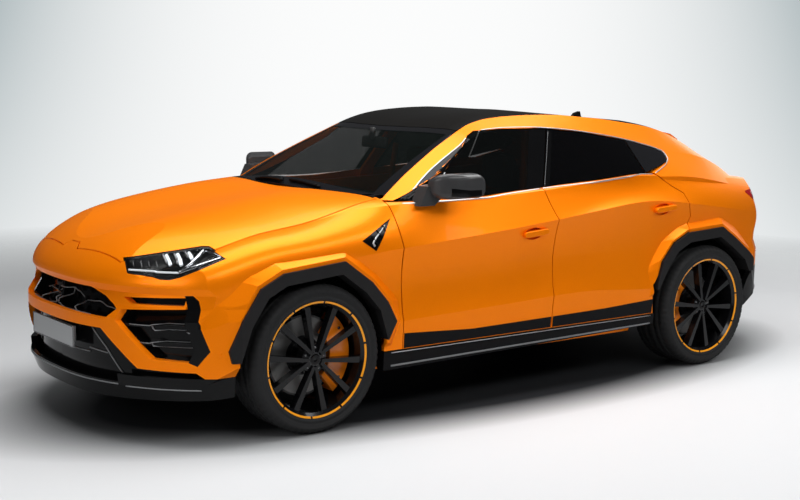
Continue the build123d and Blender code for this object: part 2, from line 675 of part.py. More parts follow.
# ---------------------------------------------------------------- roof
ROOF = [(ROOF_REAR, 0)] + edge_row(ROOF_REAR, front(-1203), 6, -SEAT_GAP)[:-1] + list(reversed(
    [(x - SEAT_GAP, y) for x, y in SCREEN_TOP]))
GATE_HINGE_X = ROOF_REAR + 74  # the tailgate turns on two goosenecks under the roof
GATE_HINGE_Z = ROOF_Z - 133
GATE_ARM_Y = 300.0
FIN_REAR = rear(192)  # the aerial stands clear of the open tailgate
GATE_LUG_GAP = 5.0
GATE_LUG_T = 12.0
with BuildPart() as gate_lug:
    with BuildSketch(Plane.XZ.offset(-(GATE_ARM_Y + 12 + GATE_LUG_GAP))):
        with Locations((GATE_HINGE_X, GATE_HINGE_Z)):
            Circle(BOSS_R + 2)
        with Locations((GATE_HINGE_X, GATE_HINGE_Z + 18)):
            Rectangle(2 * BOSS_R, 36)
        with Locations((GATE_HINGE_X, GATE_HINGE_Z)):
            Circle(BORE_R, mode=Mode.SUBTRACT)
    extrude(amount=-GATE_LUG_T)
with BuildPart() as roof_panel:
    add(CABIN)
    add(CABIN_ROOF, mode=Mode.SUBTRACT)
    add(plan_prism(ROOF, 1300, 1700), mode=Mode.INTERSECT)
    add(gate_lug.part)
    mirror(about=Plane.XZ)
    with BuildSketch(Plane.XZ) as fin_side:
        with BuildLine():
            Polyline((FIN_REAR, ROOF_Z - 112), (FIN_REAR + 120, ROOF_Z - 84), (FIN_REAR + 72, ROOF_Z - 36),
                     (FIN_REAR + 30, ROOF_Z - 24), close=True)
        make_face()
    extrude(amount=14, both=True)
finish(roof_panel, "roof_panel")

# ---------------------------------------------------------------- body side frame
TAIL_LAMP = [  # seen from behind
    (TAILGATE_HALF + 8, 1034), (700, 1030), (838, 1062), (838, 1110), (690, 1100), (TAILGATE_HALF + 8, 1092),
]
QUARTER = [
    (rear(410), DOOR_BOTTOM_Z), (rear(410), 2000), (rear(-760), 2000), (rear(-760), BELT_Z - 120),
    (rear(-420), BELT_Z - 270), (rear(-280), 700), (rear(-300), SILL_Z),
]
POST_BAND = 125.0  # width of the frame that shows round an open door
POST_HOLES = (grown(FRONT_DOOR[:3] + [FRONT_DOOR[5]] + FRONT_DOOR[6:8] + FRONT_DOOR[9:], -POST_BAND),
              grown(REAR_DOOR[:3] + REAR_DOOR[5:], -POST_BAND))
FRAME_PLATE = [
    (front(-485), FLOOR_Z + 10), (front(-485), BELT_Z - 30), (front(-600), BELT_Z - 30),
    (front(-1186), BELT_Z - 30), (rear(1297), BELT_Z - 10), (rear(517), BELT_Z + 30), (rear(-100), BELT_Z - 5),
    (rear(-300), BELT_Z - 50), (rear(-300), 900), (rear(0), 900), (rear(500), FLOOR_Z + 10),
]
DECK_CUT = plan_prism(
    [(rear(2600), 0), (rear(2600), 838), (rear(477), 838), (rear(0), 803), (rear(-423), 752), (rear(-707), 700),
     (rear(-707), 0)], BELT_Z - 230, BELT_Z + 300)
DOOR_SPACE = side_prism(grown(FRONT_DOOR, SHUT_GAP), FRAME_OUT_Y, FAR) + side_prism(
    grown(REAR_DOOR, SHUT_GAP), FRAME_OUT_Y, FAR)

LINER_GAP = 26.0  # from the arch opening out to the back of the wheelhouse liner
REAR_LINER_CUT = side_prism(arch_opening(REAR_ARCH, REAR_MOUTH, REAR_AXLE, LINER_GAP), REAR_WHEEL_IN_Y, FAR)
with BuildPart() as cabin_rails:
    add(CABIN)
    add(CABIN_FRAME, mode=Mode.SUBTRACT)
    add(plan_prism(
        edge_row(rear(-1000), front(-400), 12) + [(front(-400), FAR), (rear(-1000), FAR)], 1000, 1700),
        mode=Mode.INTERSECT)
    add(side_prism(WINDOW_LINE, 560, FAR), mode=Mode.SUBTRACT)
    add(block(TAIL - 400, rear(-640), 0, FAR, 900, 1700), mode=Mode.SUBTRACT)
    add(block(TAIL - 400, rear(-380), 0, FAR, 900, 1130), mode=Mode.SUBTRACT)
    add(side_prism(grown(QUARTER_PANE, SEAT_GAP), 560, FAR), mode=Mode.SUBTRACT)
    add(plan_prism(grown(SCREEN, SEAT_GAP), 900, 1700), mode=Mode.SUBTRACT)
    add(plan_prism(grown(ROOF, SEAT_GAP), 900, 1700), mode=Mode.SUBTRACT)
    add(block(front(-508), front(-300), 0, FAR, 900, 1700), mode=Mode.SUBTRACT)
with BuildPart() as quarter:
    add(common(BODY, side_prism(QUARTER, TAILGATE_HALF + SHUT_GAP, FAR)))
    add(REAR_ARCH_CUT, mode=Mode.SUBTRACT)
    add(side_prism(grown(REAR_DOOR, SHUT_GAP), FRAME_OUT_Y, FAR), mode=Mode.SUBTRACT)
    add(DECK_CUT, mode=Mode.SUBTRACT)
    add(common(BODY_FRAME, side_prism(grown(QUARTER, 1), TAILGATE_HALF, FAR)), mode=Mode.SUBTRACT)
    add(front_prism(grown(TAIL_LAMP, SEAT_GAP), TAIL - 100, rear(-280)), mode=Mode.SUBTRACT)
with BuildPart() as door_webs:
    add(side_prism(grown(REAR_DOOR, 40), FRAME_OUT_Y - 10, FAR))
    add(block(rear(-400), rear(410), 0, FAR, DOOR_BOTTOM_Z, 2000), mode=Mode.INTERSECT)
    add(BODY_SKIN, mode=Mode.INTERSECT)
with BuildPart() as front_web:
    add(block(front(-520), front(-492), FRAME_OUT_Y - 10, FAR, DOOR_BOTTOM_Z, BELT_Z - 60))
    add(BODY_SKIN, mode=Mode.INTERSECT)
B_POST = [
    (B_POST_FOOT + 27, BELT_Z - 60), (B_POST_FOOT + 117, BELT_Z - 60), (B_POST_FOOT + 117, BELT_Z + 20),
    (B_POST_HEAD + 117, ROOF_Z - 60), (B_POST_HEAD + 27, ROOF_Z - 60), (B_POST_FOOT + 27, BELT_Z + 20),
]
with BuildPart() as b_post:
    add(cabin_form(38))
    add(cabin_form(64), mode=Mode.SUBTRACT)
    add(side_prism(B_POST, 600, FAR), mode=Mode.INTERSECT)
    add(block(B_POST_FOOT + 27, B_POST_FOOT + 117, FRAME_IN_Y, DOOR_INNER_Y - SHUT_GAP, BELT_Z - 90, BELT_Z - 40))
with BuildPart() as frame_plate:
    add(side_prism(FRAME_PLATE, FRAME_IN_Y, FRAME_OUT_Y))
    for hole in POST_HOLES:
        add(side_prism(hole, FRAME_IN_Y - 10, FRAME_OUT_Y + 10), mode=Mode.SUBTRACT)
with BuildPart() as side_frame:
    add(quarter.part)
    add(without(door_webs.part, DOOR_SPACE, REAR_ARCH_CUT))
    add(without(frame_plate.part, REAR_LINER_CUT, REAR_ARCH_CUT, DOOR_SPACE))
    add(without(cabin_rails.part, DOOR_SPACE))
    add(b_post.part)
    add(front_web.part)
    add(door_hinges(FRONT_HINGE_X, FRONT_HINGE_HEIGHTS))
    add(door_hinges(REAR_HINGE_X, REAR_HINGE_HEIGHTS))
write_pair(side_frame.part, "side_frame")

# ---------------------------------------------------------------- hood, fenders, bumpers
HOOD_HINGE_X = front(-508)  # the hood turns on two arms whose pins sit in lugs on the cowl
HOOD_HINGE_Z = BELT_Z + 4
HOOD_ARM_Y = 708.0
HOOD_ARM_T = 8.0
HOOD_LUG_T = 10.0
with BuildPart() as hood_arm:
    with BuildSketch(Plane.XZ.offset(-HOOD_ARM_Y)):
        with Locations((HOOD_HINGE_X, HOOD_HINGE_Z)):
            Circle(BOSS_R)
        with BuildLine():
            Polyline(
                (HOOD_HINGE_X, HOOD_HINGE_Z + BOSS_R), (HOOD_HINGE_X, HOOD_HINGE_Z - BOSS_R),
                (front(-300), BELT_Z - 60), (front(-300), BELT_Z - 30), (front(-430), BELT_Z - 15), close=True)
        make_face()
    extrude(amount=-HOOD_ARM_T)
    with BuildSketch(Plane.XZ.offset(-(HOOD_ARM_Y - 5 - HOOD_LUG_T))):
        with Locations((HOOD_HINGE_X, HOOD_HINGE_Z)):
            Circle(PIN_R)
    extrude(amount=-(5 + HOOD_LUG_T + HOOD_ARM_T))
# The lamps are outlined on a plane that faces the front quarter.
LAMP_PLANE = Plane(
    origin=(NOSE - 380, 790, BELT_Z - 270), x_dir=(-0.82, 0.57, 0), z_dir=(0.57, 0.82, 0.0)
)
LAMP = [(-325, 14), (-300, -50), (-168, -58), (-128, -68), (-80, -68), (-30, -54), (190, 32), (96, 76), (60, 76)]


def lamp_prism(points, amount=0.0, deep=400.0):
    """An outline on the lamp's plane, carried through the wing's corner."""
    with BuildPart() as prism:
        with BuildSketch(LAMP_PLANE):
            with BuildLine():
                Polyline(*grown(points, amount), close=True)
            make_face()
        extrude(amount=deep, both=True)
    return prism.part


with BuildPart() as hood:
    add(BODY)
    add(BODY_SKIN, mode=Mode.SUBTRACT)
    add(plan_prism(HOOD, 820, 1400), mode=Mode.INTERSECT)
    add(lamp_prism(LAMP, SHUT_GAP), mode=Mode.SUBTRACT)
    add(hood_arm.part)
    mirror(about=Plane.XZ)
finish(hood, "hood")

# Side view of the joint between bumper and fender, from the tip of the lamp to the arch.
JOINT_X = front(418)
JOINT_LOW_X = front(262)
FENDER_SIDE = [
    (front(-547), DOOR_BOTTOM_Z), (front(-546), BELT_Z - 246), (front(-502), BELT_Z - 8),
    (front(-502), 1300), (JOINT_X, 1300), (JOINT_X, 950), (JOINT_LOW_X, 880), (JOINT_LOW_X, DOOR_BOTTOM_Z),
]
FENDER_IN_Y = 640.0
COWL_HALF = 775.0
hood_space = plan_prism(grown(HOOD, SHUT_GAP), 820, 1400)
with BuildPart() as fender:
    add(BODY)
    add(BODY_SKIN, mode=Mode.SUBTRACT)
    add(side_prism(FENDER_SIDE, FENDER_IN_Y, FAR), mode=Mode.INTERSECT)
    add(hood_space, mode=Mode.SUBTRACT)
    add(FRONT_ARCH_CUT, mode=Mode.SUBTRACT)
    add(block(front(-600), front(500), 0, FENDER_IN_Y + 100, 0, 900), mode=Mode.SUBTRACT)
    add(block(front(-600), front(-440), 0, COWL_HALF + 2, 900, 1300), mode=Mode.SUBTRACT)
    add(common(shifted_in(BODY, EDGE_FLANGE), block(front(-600), front(-490), 0, FAR, 0, BELT_Z - 20)),
        mode=Mode.SUBTRACT)
write_pair(fender.part, "front_fender")

# ---------------------------------------------------------------- nose
# Front view (y, z) of the openings; the bright bar runs between the two grilles.
BAR_TOP_Z = 636.0
BAR_BOTTOM_Z = 578.0
UPPER_GRILLE = [(0, 768), (344, 772), (452, 738), (538, 681), (500, BAR_TOP_Z - 4), (0, BAR_TOP_Z)]
SIDE_INTAKE = [
    (560, 682), (835, 700), (850, 762), (874, 742), (925, 495), (893, 425), (884, 440), (722, 452),
    (556, 628),
]
INTAKE_SLOT = [(560, 742), (836, 756), (830, 716), (600, 712)]
LOWER_GRILLE = [
    (0, BAR_BOTTOM_Z), (470, BAR_BOTTOM_Z + 2), (590, 472), (668, 398), (890, 388), (915, 356), (915, 100),
    (0, 100),
]
BLADE = [(828, 766), (855, 768), (876, 742), (929, 495), (895, 421), (868, 440), (886, 497), (868, 578), (844, 700)]
BUMPER_BOTTOM_Z = 358.0
GRILLE_SPACE = 70.0  # from the skin back to the grilles
GRILLE_T = 16.0
FRONT_FROM = front(180)

NOSE_BLOCK = block(front(200), FAR, 0, FAR, 0, 1300)
JOINT_CUT = side_prism(
    [(JOINT_X, 1300), (JOINT_X, 950), (JOINT_LOW_X, 880), (JOINT_LOW_X, 0), (-FAR, 0), (-FAR, 1300)],
    0, FAR)
INWARD = (-1.0, -0.6, -0.5)  # the way in from the nose's skin


def nose_behind(depth, form):
    """A form of the nose moved in behind its skin by depth."""
    return Pos(*[depth * part for part in INWARD]) * form


NOSE_INNER = nose_behind(SKIN, BODY)
with BuildPart() as nose_skin:
    add(common(BODY, NOSE_BLOCK))
    add(common(NOSE_INNER, block(front(190), FAR, -10, FAR, 100, 1290)), mode=Mode.SUBTRACT)
    add(plan_prism([(front(180), 0), (front(180), 640), (front(500), 640), (front(560), 0)], 0, 820),
        mode=Mode.SUBTRACT)
with BuildPart() as front_bumper:
    add(nose_skin.part)
    add(hood_space, mode=Mode.SUBTRACT)
    add(JOINT_CUT, mode=Mode.SUBTRACT)
    add(FRONT_ARCH_CUT, mode=Mode.SUBTRACT)
    add(lamp_prism(LAMP, SEAT_GAP), mode=Mode.SUBTRACT)
    add(block(front(180), FAR, 0, FAR, 0, BUMPER_BOTTOM_Z), mode=Mode.SUBTRACT)
    for outline in (UPPER_GRILLE, SIDE_INTAKE, BLADE, INTAKE_SLOT, LOWER_GRILLE):
        add(front_prism(outline, FRONT_FROM, FAR), mode=Mode.SUBTRACT)
    mirror(about=Plane.XZ)
finish(front_bumper, "front_bumper")

# Grilles: honeycomb set back from the skin in a frame, two bars and a dark blade at each side.
HEX_PITCH = 86.0
HEX_BAR = 9.0
INTAKE_BAR_Z = (512.0, 600.0)
INTAKE_BAR_T = 14.0
FRAME_LIP = 9.0
NOSE_BODY = common(BODY, NOSE_BLOCK)


def skin_slab(depth_out, depth_in, outline):
    """A sheet that follows the nose between two depths behind its skin, inside an outline."""
    space = front_prism(outline, FRONT_FROM, FAR)
    return without(common(nose_behind(depth_out, NOSE_BODY), space), nose_behind(depth_in, NOSE_BODY))


def grille_frame(outline, depth):
    """The rim that clips a grille to the back of the bumper's skin."""
    rim = skin_slab(SKIN + SEAT_GAP + 4, depth, grown(outline, FRAME_LIP))
    return without(rim, front_prism(outline, FRONT_FROM - 1, FAR))


with BuildPart() as hex_holes:
    with BuildSketch(Plane.YZ.offset(FRONT_FROM)):
        for row in range(4):
            for column in range(8):
                shift = HEX_PITCH / 2 if row % 2 else 0.0
                with Locations((column * HEX_PITCH + shift, BAR_TOP_Z + 4 + row * HEX_PITCH * 0.5)):
                    RegularPolygon((HEX_PITCH - HEX_BAR) / 2, 6)
    extrude(amount=FAR)
GRILLE_BACK = GRILLE_SPACE + GRILLE_T
with BuildPart() as front_grilles:
    add(without(skin_slab(GRILLE_SPACE, GRILLE_BACK, UPPER_GRILLE), hex_holes.part))
    add(grille_frame(UPPER_GRILLE, GRILLE_BACK))
    add(skin_slab(GRILLE_BACK - 6, GRILLE_BACK, grown(UPPER_GRILLE, FRAME_LIP)))
    add(grille_frame(SIDE_INTAKE, GRILLE_BACK))
    add(skin_slab(GRILLE_SPACE, GRILLE_BACK, SIDE_INTAKE))
    add(grille_frame(INTAKE_SLOT, SKIN + 20))
    add(skin_slab(SKIN + 12, SKIN + 20, INTAKE_SLOT))
    add(skin_slab(0, SKIN, BLADE))
    for z in INTAKE_BAR_Z:
        bar = front_prism([(500, z), (960, z), (960, z + INTAKE_BAR_T), (500, z + INTAKE_BAR_T)], FRONT_FROM, FAR)
        add(common(skin_slab(28, GRILLE_BACK, SIDE_INTAKE), bar))
    add(FRONT_ARCH_CUT, mode=Mode.SUBTRACT)
    add(side_prism(arch_opening(FRONT_ARCH, FRONT_MOUTH, FRONT_AXLE, LINER_GAP), FRONT_WHEEL_IN_Y, 920),
        mode=Mode.SUBTRACT)
    mirror(about=Plane.XZ)
finish(front_grilles, "front_grilles")

# Splitter below the bumper, with its corner blades and the dark panel of the lower opening.
SPLITTER_LIP_Z = 318.0
SPLITTER_FROM = front(240)
LOWER_BACK = 60.0
LOWER_T = 12.0
with BuildPart() as front_splitter:
    add(common(BODY, block(SPLITTER_FROM, FAR, 0, FAR, 0, SPLITTER_LIP_Z)))
    add(common(BODY_SKIN, block(SPLITTER_FROM - 1, FAR, 0, FAR, SILL_Z - 25, SPLITTER_LIP_Z + 1)), mode=Mode.SUBTRACT)
    add(skin_slab(LOWER_BACK, LOWER_BACK + LOWER_T, [
        (0, SPLITTER_LIP_Z - 20), (875, SPLITTER_LIP_Z - 20), (875, 388), (668, 398), (590, 472), (470, BAR_BOTTOM_Z - 1),
        (0, BAR_BOTTOM_Z - 1)]))
    add(without(
        common(NOSE_BODY, block(SPLITTER_FROM, FAR, 560, FAR, SPLITTER_LIP_Z - 1, BUMPER_BOTTOM_Z - SEAT_GAP)),
        Pos(-SKIN, -SKIN, 0) * NOSE_BODY))
    add(FRONT_ARCH_CUT, mode=Mode.SUBTRACT)
    mirror(about=Plane.XZ)
finish(front_splitter, "front_splitter")

# Blank number plates, front and rear.
PLATE_HALF = 260.0
PLATE_Z = (448.0, 557.0)
PLATE_T = 6.0
REAR_PLATE_Z = 658.0
with BuildPart() as number_plates:
    with Locations((NOSE - 12, 0, (PLATE_Z[0] + PLATE_Z[1]) / 2)):
        Box(PLATE_T, 2 * PLATE_HALF, PLATE_Z[1] - PLATE_Z[0])
    add(block(NOSE - LOWER_BACK + SEAT_GAP, NOSE - 12, -180, 180, PLATE_Z[0] + 15, PLATE_Z[1] - 15))
    with Locations((TAIL + (10 - SEAT_GAP) / 2, 0, REAR_PLATE_Z)):
        Box(10 - SEAT_GAP, 2 * PLATE_HALF, PLATE_Z[1] - PLATE_Z[0])
finish(number_plates, "number_plates")

# ---------------------------------------------------------------- lamps
LENS_T = 4.0
lamp_zone = lamp_prism(LAMP)
with BuildPart() as lamp_lenses:
    add(common(NOSE_BODY, lamp_zone))
    add(Pos(-LENS_T, -LENS_T, 0) * NOSE_BODY, mode=Mode.SUBTRACT)
    mirror(about=Plane.XZ)
finish(lamp_lenses, "headlamp_lenses")
LAMP_WALL = 5.0
LAMP_DEEP = 45.0
LAMP_BACK = 52.0
lamp_bowl = without(lamp_prism(LAMP, -LAMP_WALL), Pos(-LAMP_DEEP, -LAMP_DEEP, 0) * NOSE_BODY)
with BuildPart() as headlamps:
    add(common(Pos(-LENS_T - SEAT_GAP, -LENS_T - SEAT_GAP, 0) * NOSE_BODY, lamp_zone))
    add(Pos(-LAMP_BACK, -LAMP_BACK, 0) * NOSE_BODY, mode=Mode.SUBTRACT)
    add(lamp_bowl, mode=Mode.SUBTRACT)
    mirror(about=Plane.XZ)
finish(headlamps, "headlamps")

# ---------------------------------------------------------------- tail
# Front view (y, z) of what is cut in the tail.
TAILGATE_LOW_Z = 720.0
LAMP_STRIP_Z = (1028.0, 1098.0)
BUMPER_LOW_Z = 600.0
DIFFUSER_FROM = rear(-330)
TAIL_FROM = rear(-280)
TAIL_BLOCK = block(TAIL - 100, TAIL_FROM, 0, FAR, 0, 1300)
TAIL_BODY = common(BODY, TAIL_BLOCK)
TAIL_INNER = common(BODY_SKIN, TAIL_BLOCK)
tail_skin = without(TAIL_BODY, TAIL_INNER)
quarter_space = side_prism(QUARTER, TAILGATE_HALF, FAR)
gate_outline = [(0, TAILGATE_LOW_Z), (TAILGATE_HALF - 60, TAILGATE_LOW_Z), (TAILGATE_HALF, TAILGATE_LOW_Z + 70),
                (TAILGATE_HALF, 1300), (0, 1300)]
gate_space = front_prism(grown(gate_outline, SHUT_GAP), TAIL - 100, TAIL_FROM + 10)
tail_lamp_space = front_prism(TAIL_LAMP, TAIL - 100, TAIL_FROM)

with BuildPart() as rear_bumper:
    add(tail_skin)
    add(quarter_space, mode=Mode.SUBTRACT)
    add(gate_space, mode=Mode.SUBTRACT)
    add(REAR_ARCH_CUT, mode=Mode.SUBTRACT)
    add(tail_lamp_space, mode=Mode.SUBTRACT)
    add(block(TAIL - 100, TAIL_FROM + 1, -1, FAR, 0, BUMPER_LOW_Z), mode=Mode.SUBTRACT)
    add(block(rear(-340), TAIL_FROM + 1, -1, 700, 0, 1300), mode=Mode.SUBTRACT)
    mirror(about=Plane.XZ)
finish(rear_bumper, "rear_bumper")

with BuildPart() as diffuser_skin:
    add(common(BODY, block(TAIL - 100, TAIL_FROM, 0, FAR, 0, BUMPER_LOW_Z)))
    add(REAR_ARCH_CUT, mode=Mode.SUBTRACT)
    add(common(Pos(SKIN, -SKIN, SKIN) * BODY, block(TAIL - 100, TAIL_FROM + 1, -1, FAR, SILL_Z + 40, BUMPER_LOW_Z + 1)),
        mode=Mode.SUBTRACT)
TIP_R = 45.0
TIP_GAP = 6.0
TIP_Z = 372.0
TIP_Y = (430.0, 548.0)


def exhaust_pipes(radius, x_back, x_front):
    """The four tail pipes' outer forms, left side."""
    with BuildPart() as pipes:
        for y in TIP_Y:
            with Locations(Location(((x_back + x_front) / 2, y, TIP_Z), (0, 90, 0))):
                Cylinder(radius, x_front - x_back)
    return pipes.part


FIN_SIDE = [(TAIL + 330, 292), (TAIL + 170, 292), (TAIL + 40, 400), (TAIL + 30, 470), (TAIL + 80, 470)]
with BuildPart() as rear_diffuser:
    add(without(diffuser_skin.part, REAR_LINER_CUT))
    add(exhaust_pipes(TIP_R + TIP_GAP, TAIL - 100, TAIL + 400), mode=Mode.SUBTRACT)
    for y in (100, 300):
        add(side_prism(FIN_SIDE, y - 8, y + 8))
    mirror(about=Plane.XZ)
finish(rear_diffuser, "rear_diffuser")

with BuildPart() as tail_lamps:
    add(common(tail_skin, tail_lamp_space))
    mirror(about=Plane.XZ)
finish(tail_lamps, "tail_lamps")

WINDOW_REAR_TOP = rear(-215)
WINDOW_REAR_LOW = rear(-640)
GATE_TOP = [(ROOF_REAR - SHUT_GAP, 0)] + edge_row(ROOF_REAR - SHUT_GAP, rear(-780), 6, -SHUT_GAP) + [(rear(-780), 0)]
REAR_WINDOW = [(WINDOW_REAR_TOP, 0), (WINDOW_REAR_TOP, 490), (WINDOW_REAR_LOW, 530), (WINDOW_REAR_LOW, 0)]
SPOILER = [
    (ROOF_REAR - SHUT_GAP, ROOF_Z - 118), (rear(-130), ROOF_Z - 160), (rear(-200), ROOF_Z - 196),
    (rear(-200), ROOF_Z - 204), (rear(-60), ROOF_Z - 178), (ROOF_REAR - SHUT_GAP, ROOF_Z - 130),
]
with BuildPart() as gate_top:
    add(CABIN)
    add(CABIN_ROOF, mode=Mode.SUBTRACT)
    add(plan_prism(GATE_TOP, 1040, 1700), mode=Mode.INTERSECT)
    add(plan_prism(REAR_WINDOW, 1000, 1700), mode=Mode.SUBTRACT)
with BuildPart() as gate_low:
    add(tail_skin)
    add(front_prism(gate_outline, TAIL - 100, TAIL_FROM), mode=Mode.INTERSECT)
    add(block(rear(-640), TAIL_FROM + 1, -1, FAR, 0, 1300), mode=Mode.SUBTRACT)
GATE_CLEAR_R = 90.0  # what turns past the rear edge of the roof
GOOSENECK_R = (92.0, 112.0)
GOOSENECK_T = 12.0
GOOSENECK_LEG = math.radians(282)
with BuildPart() as gooseneck:
    with BuildSketch(Plane.XZ.offset(-GATE_ARM_Y)):
        with Locations((GATE_HINGE_X, GATE_HINGE_Z)):
            Circle(BOSS_R)
        with BuildLine():
            ends = []
            for radius in GOOSENECK_R:
                arc = CenterArc((GATE_HINGE_X, GATE_HINGE_Z), radius, 180, 102)
                ends.append((arc @ 0, arc @ 1))
            Line(ends[0][0], ends[1][0])
            Line(ends[0][1], ends[1][1])
        make_face()
        leg = (math.cos(GOOSENECK_LEG), math.sin(GOOSENECK_LEG))
        with BuildLine():
            Polyline(*[
                (GATE_HINGE_X + r * leg[0] - side * 8 * leg[1], GATE_HINGE_Z + r * leg[1] + side * 8 * leg[0])
                for r, side in ((0, -1), (GOOSENECK_R[1] - 4, -1), (GOOSENECK_R[1] - 4, 1), (0, 1))
            ], close=True)
        make_face()
    extrude(amount=-GOOSENECK_T)
    with BuildSketch(Plane.XZ.offset(-GATE_ARM_Y)):
        with Locations((GATE_HINGE_X, GATE_HINGE_Z)):
            Circle(PIN_R)
    extrude(amount=-(GOOSENECK_T + 2 * GATE_LUG_GAP + GATE_LUG_T))
with BuildPart() as tailgate:
    add(gate_top.part)
    add(gate_low.part)
    add(side_prism(SPOILER, 0, 520))
    with Locations(Location((GATE_HINGE_X, 0, GATE_HINGE_Z), (90, 0, 0))):
        Cylinder(GATE_CLEAR_R, 1400, mode=Mode.SUBTRACT)
    add(gooseneck.part)
    mirror(about=Plane.XZ)
finish(tailgate, "tailgate")
with BuildPart() as rear_window:
    add(CABIN_GLASS)
    add(CABIN_GLASS_IN, mode=Mode.SUBTRACT)
    add(plan_prism(grown(REAR_WINDOW, -SEAT_GAP), 1000, 1700), mode=Mode.INTERSECT)
    add(block(-FAR, FAR, -FAR, -1, 0, FAR), mode=Mode.SUBTRACT)
    mirror(about=Plane.XZ)
finish(rear_window, "rear_window")

# ---------------------------------------------------------------- trims
ARCH_TRIM_IN_Y = 905.0
TRIM_PROUD = 14.0  # how far the arch trims stand out of the flares


def arch_trim(points, mouth, axle):
    """A dark band that follows a wheel arch."""
    band = side_prism(about_axle(points, axle), ARCH_TRIM_IN_Y, HALF_WIDTH + 50)
    hole = side_prism(arch_opening(points, mouth, axle), ARCH_TRIM_IN_Y - 10, HALF_WIDTH + 60)
    return common(Pos(0, TRIM_PROUD, 0) * BODY, without(band, hole))


def wheel_liner(points, mouth, axle, y_in):
    """The wheelhouse lining behind an arch trim, open downwards and to the inside."""
    outer = side_prism(arch_opening(points, mouth, axle, LINER_GAP - SEAT_GAP), y_in + SEAT_GAP, ARCH_TRIM_IN_Y - SEAT_GAP)
    inner = side_prism(arch_opening(points, mouth, axle, LINER_GAP - LINER_T), y_in - 10, FAR)
    return without(outer, inner, block(-FAR, FAR, 0, FAR, -200, LINER_LOW_Z))


LINER_T = 6.0
LINER_LOW_Z = SILL_Z + 20
SKIRT_TOP = DOOR_BOTTOM_Z - SHUT_GAP
with BuildPart() as arch_trims:
    add(arch_trim(FRONT_ARCH, FRONT_MOUTH, FRONT_AXLE))
    add(arch_trim(REAR_ARCH, REAR_MOUTH, REAR_AXLE))
    mirror(about=Plane.XZ)
finish(arch_trims, "arch_trims")
with BuildPart() as wheel_liners:
    add(wheel_liner(FRONT_ARCH, FRONT_MOUTH, FRONT_AXLE, FRONT_WHEEL_IN_Y + 80))
    add(wheel_liner(REAR_ARCH, REAR_MOUTH, REAR_AXLE, REAR_WHEEL_IN_Y))
    mirror(about=Plane.XZ)
finish(wheel_liners, "wheel_liners")
with BuildPart() as side_skirts:
    add(common(BODY, block(rear(300), front(-300), FRAME_OUT_Y, FAR, SILL_Z - 15, SKIRT_TOP)))
    for points, mouth, axle in ((FRONT_ARCH, FRONT_MOUTH, FRONT_AXLE), (REAR_ARCH, REAR_MOUTH, REAR_AXLE)):
        add(side_prism(arch_opening(points, mouth, axle, LINER_GAP), FRAME_OUT_Y - 10, ARCH_TRIM_IN_Y), mode=Mode.SUBTRACT)
        add(arch_cut(points, mouth, axle, FRAME_OUT_Y - 10), mode=Mode.SUBTRACT)
    mirror(about=Plane.XZ)
finish(side_skirts, "side_skirts")

# ---------------------------------------------------------------- wheels
SPOKE_PAIRS = 5
SPOKE_START = 61.0
SPOKE_SPREAD_HUB = 8.0
SPOKE_SPREAD_RIM = 18.0
SPOKE_HUB_W = 17.0
SPOKE_RIM_W = 34.0
STEER_LIMIT = 32.0
CALIPER_R = 262.0
CALIPER_GAP = 5.0
KINGPIN_R = 8.0
KINGPIN_DEEP = 30.0
KNUCKLE_LOW = 150.0
KNUCKLE_HIGH = 160.0
ARM_GAP = 6.0


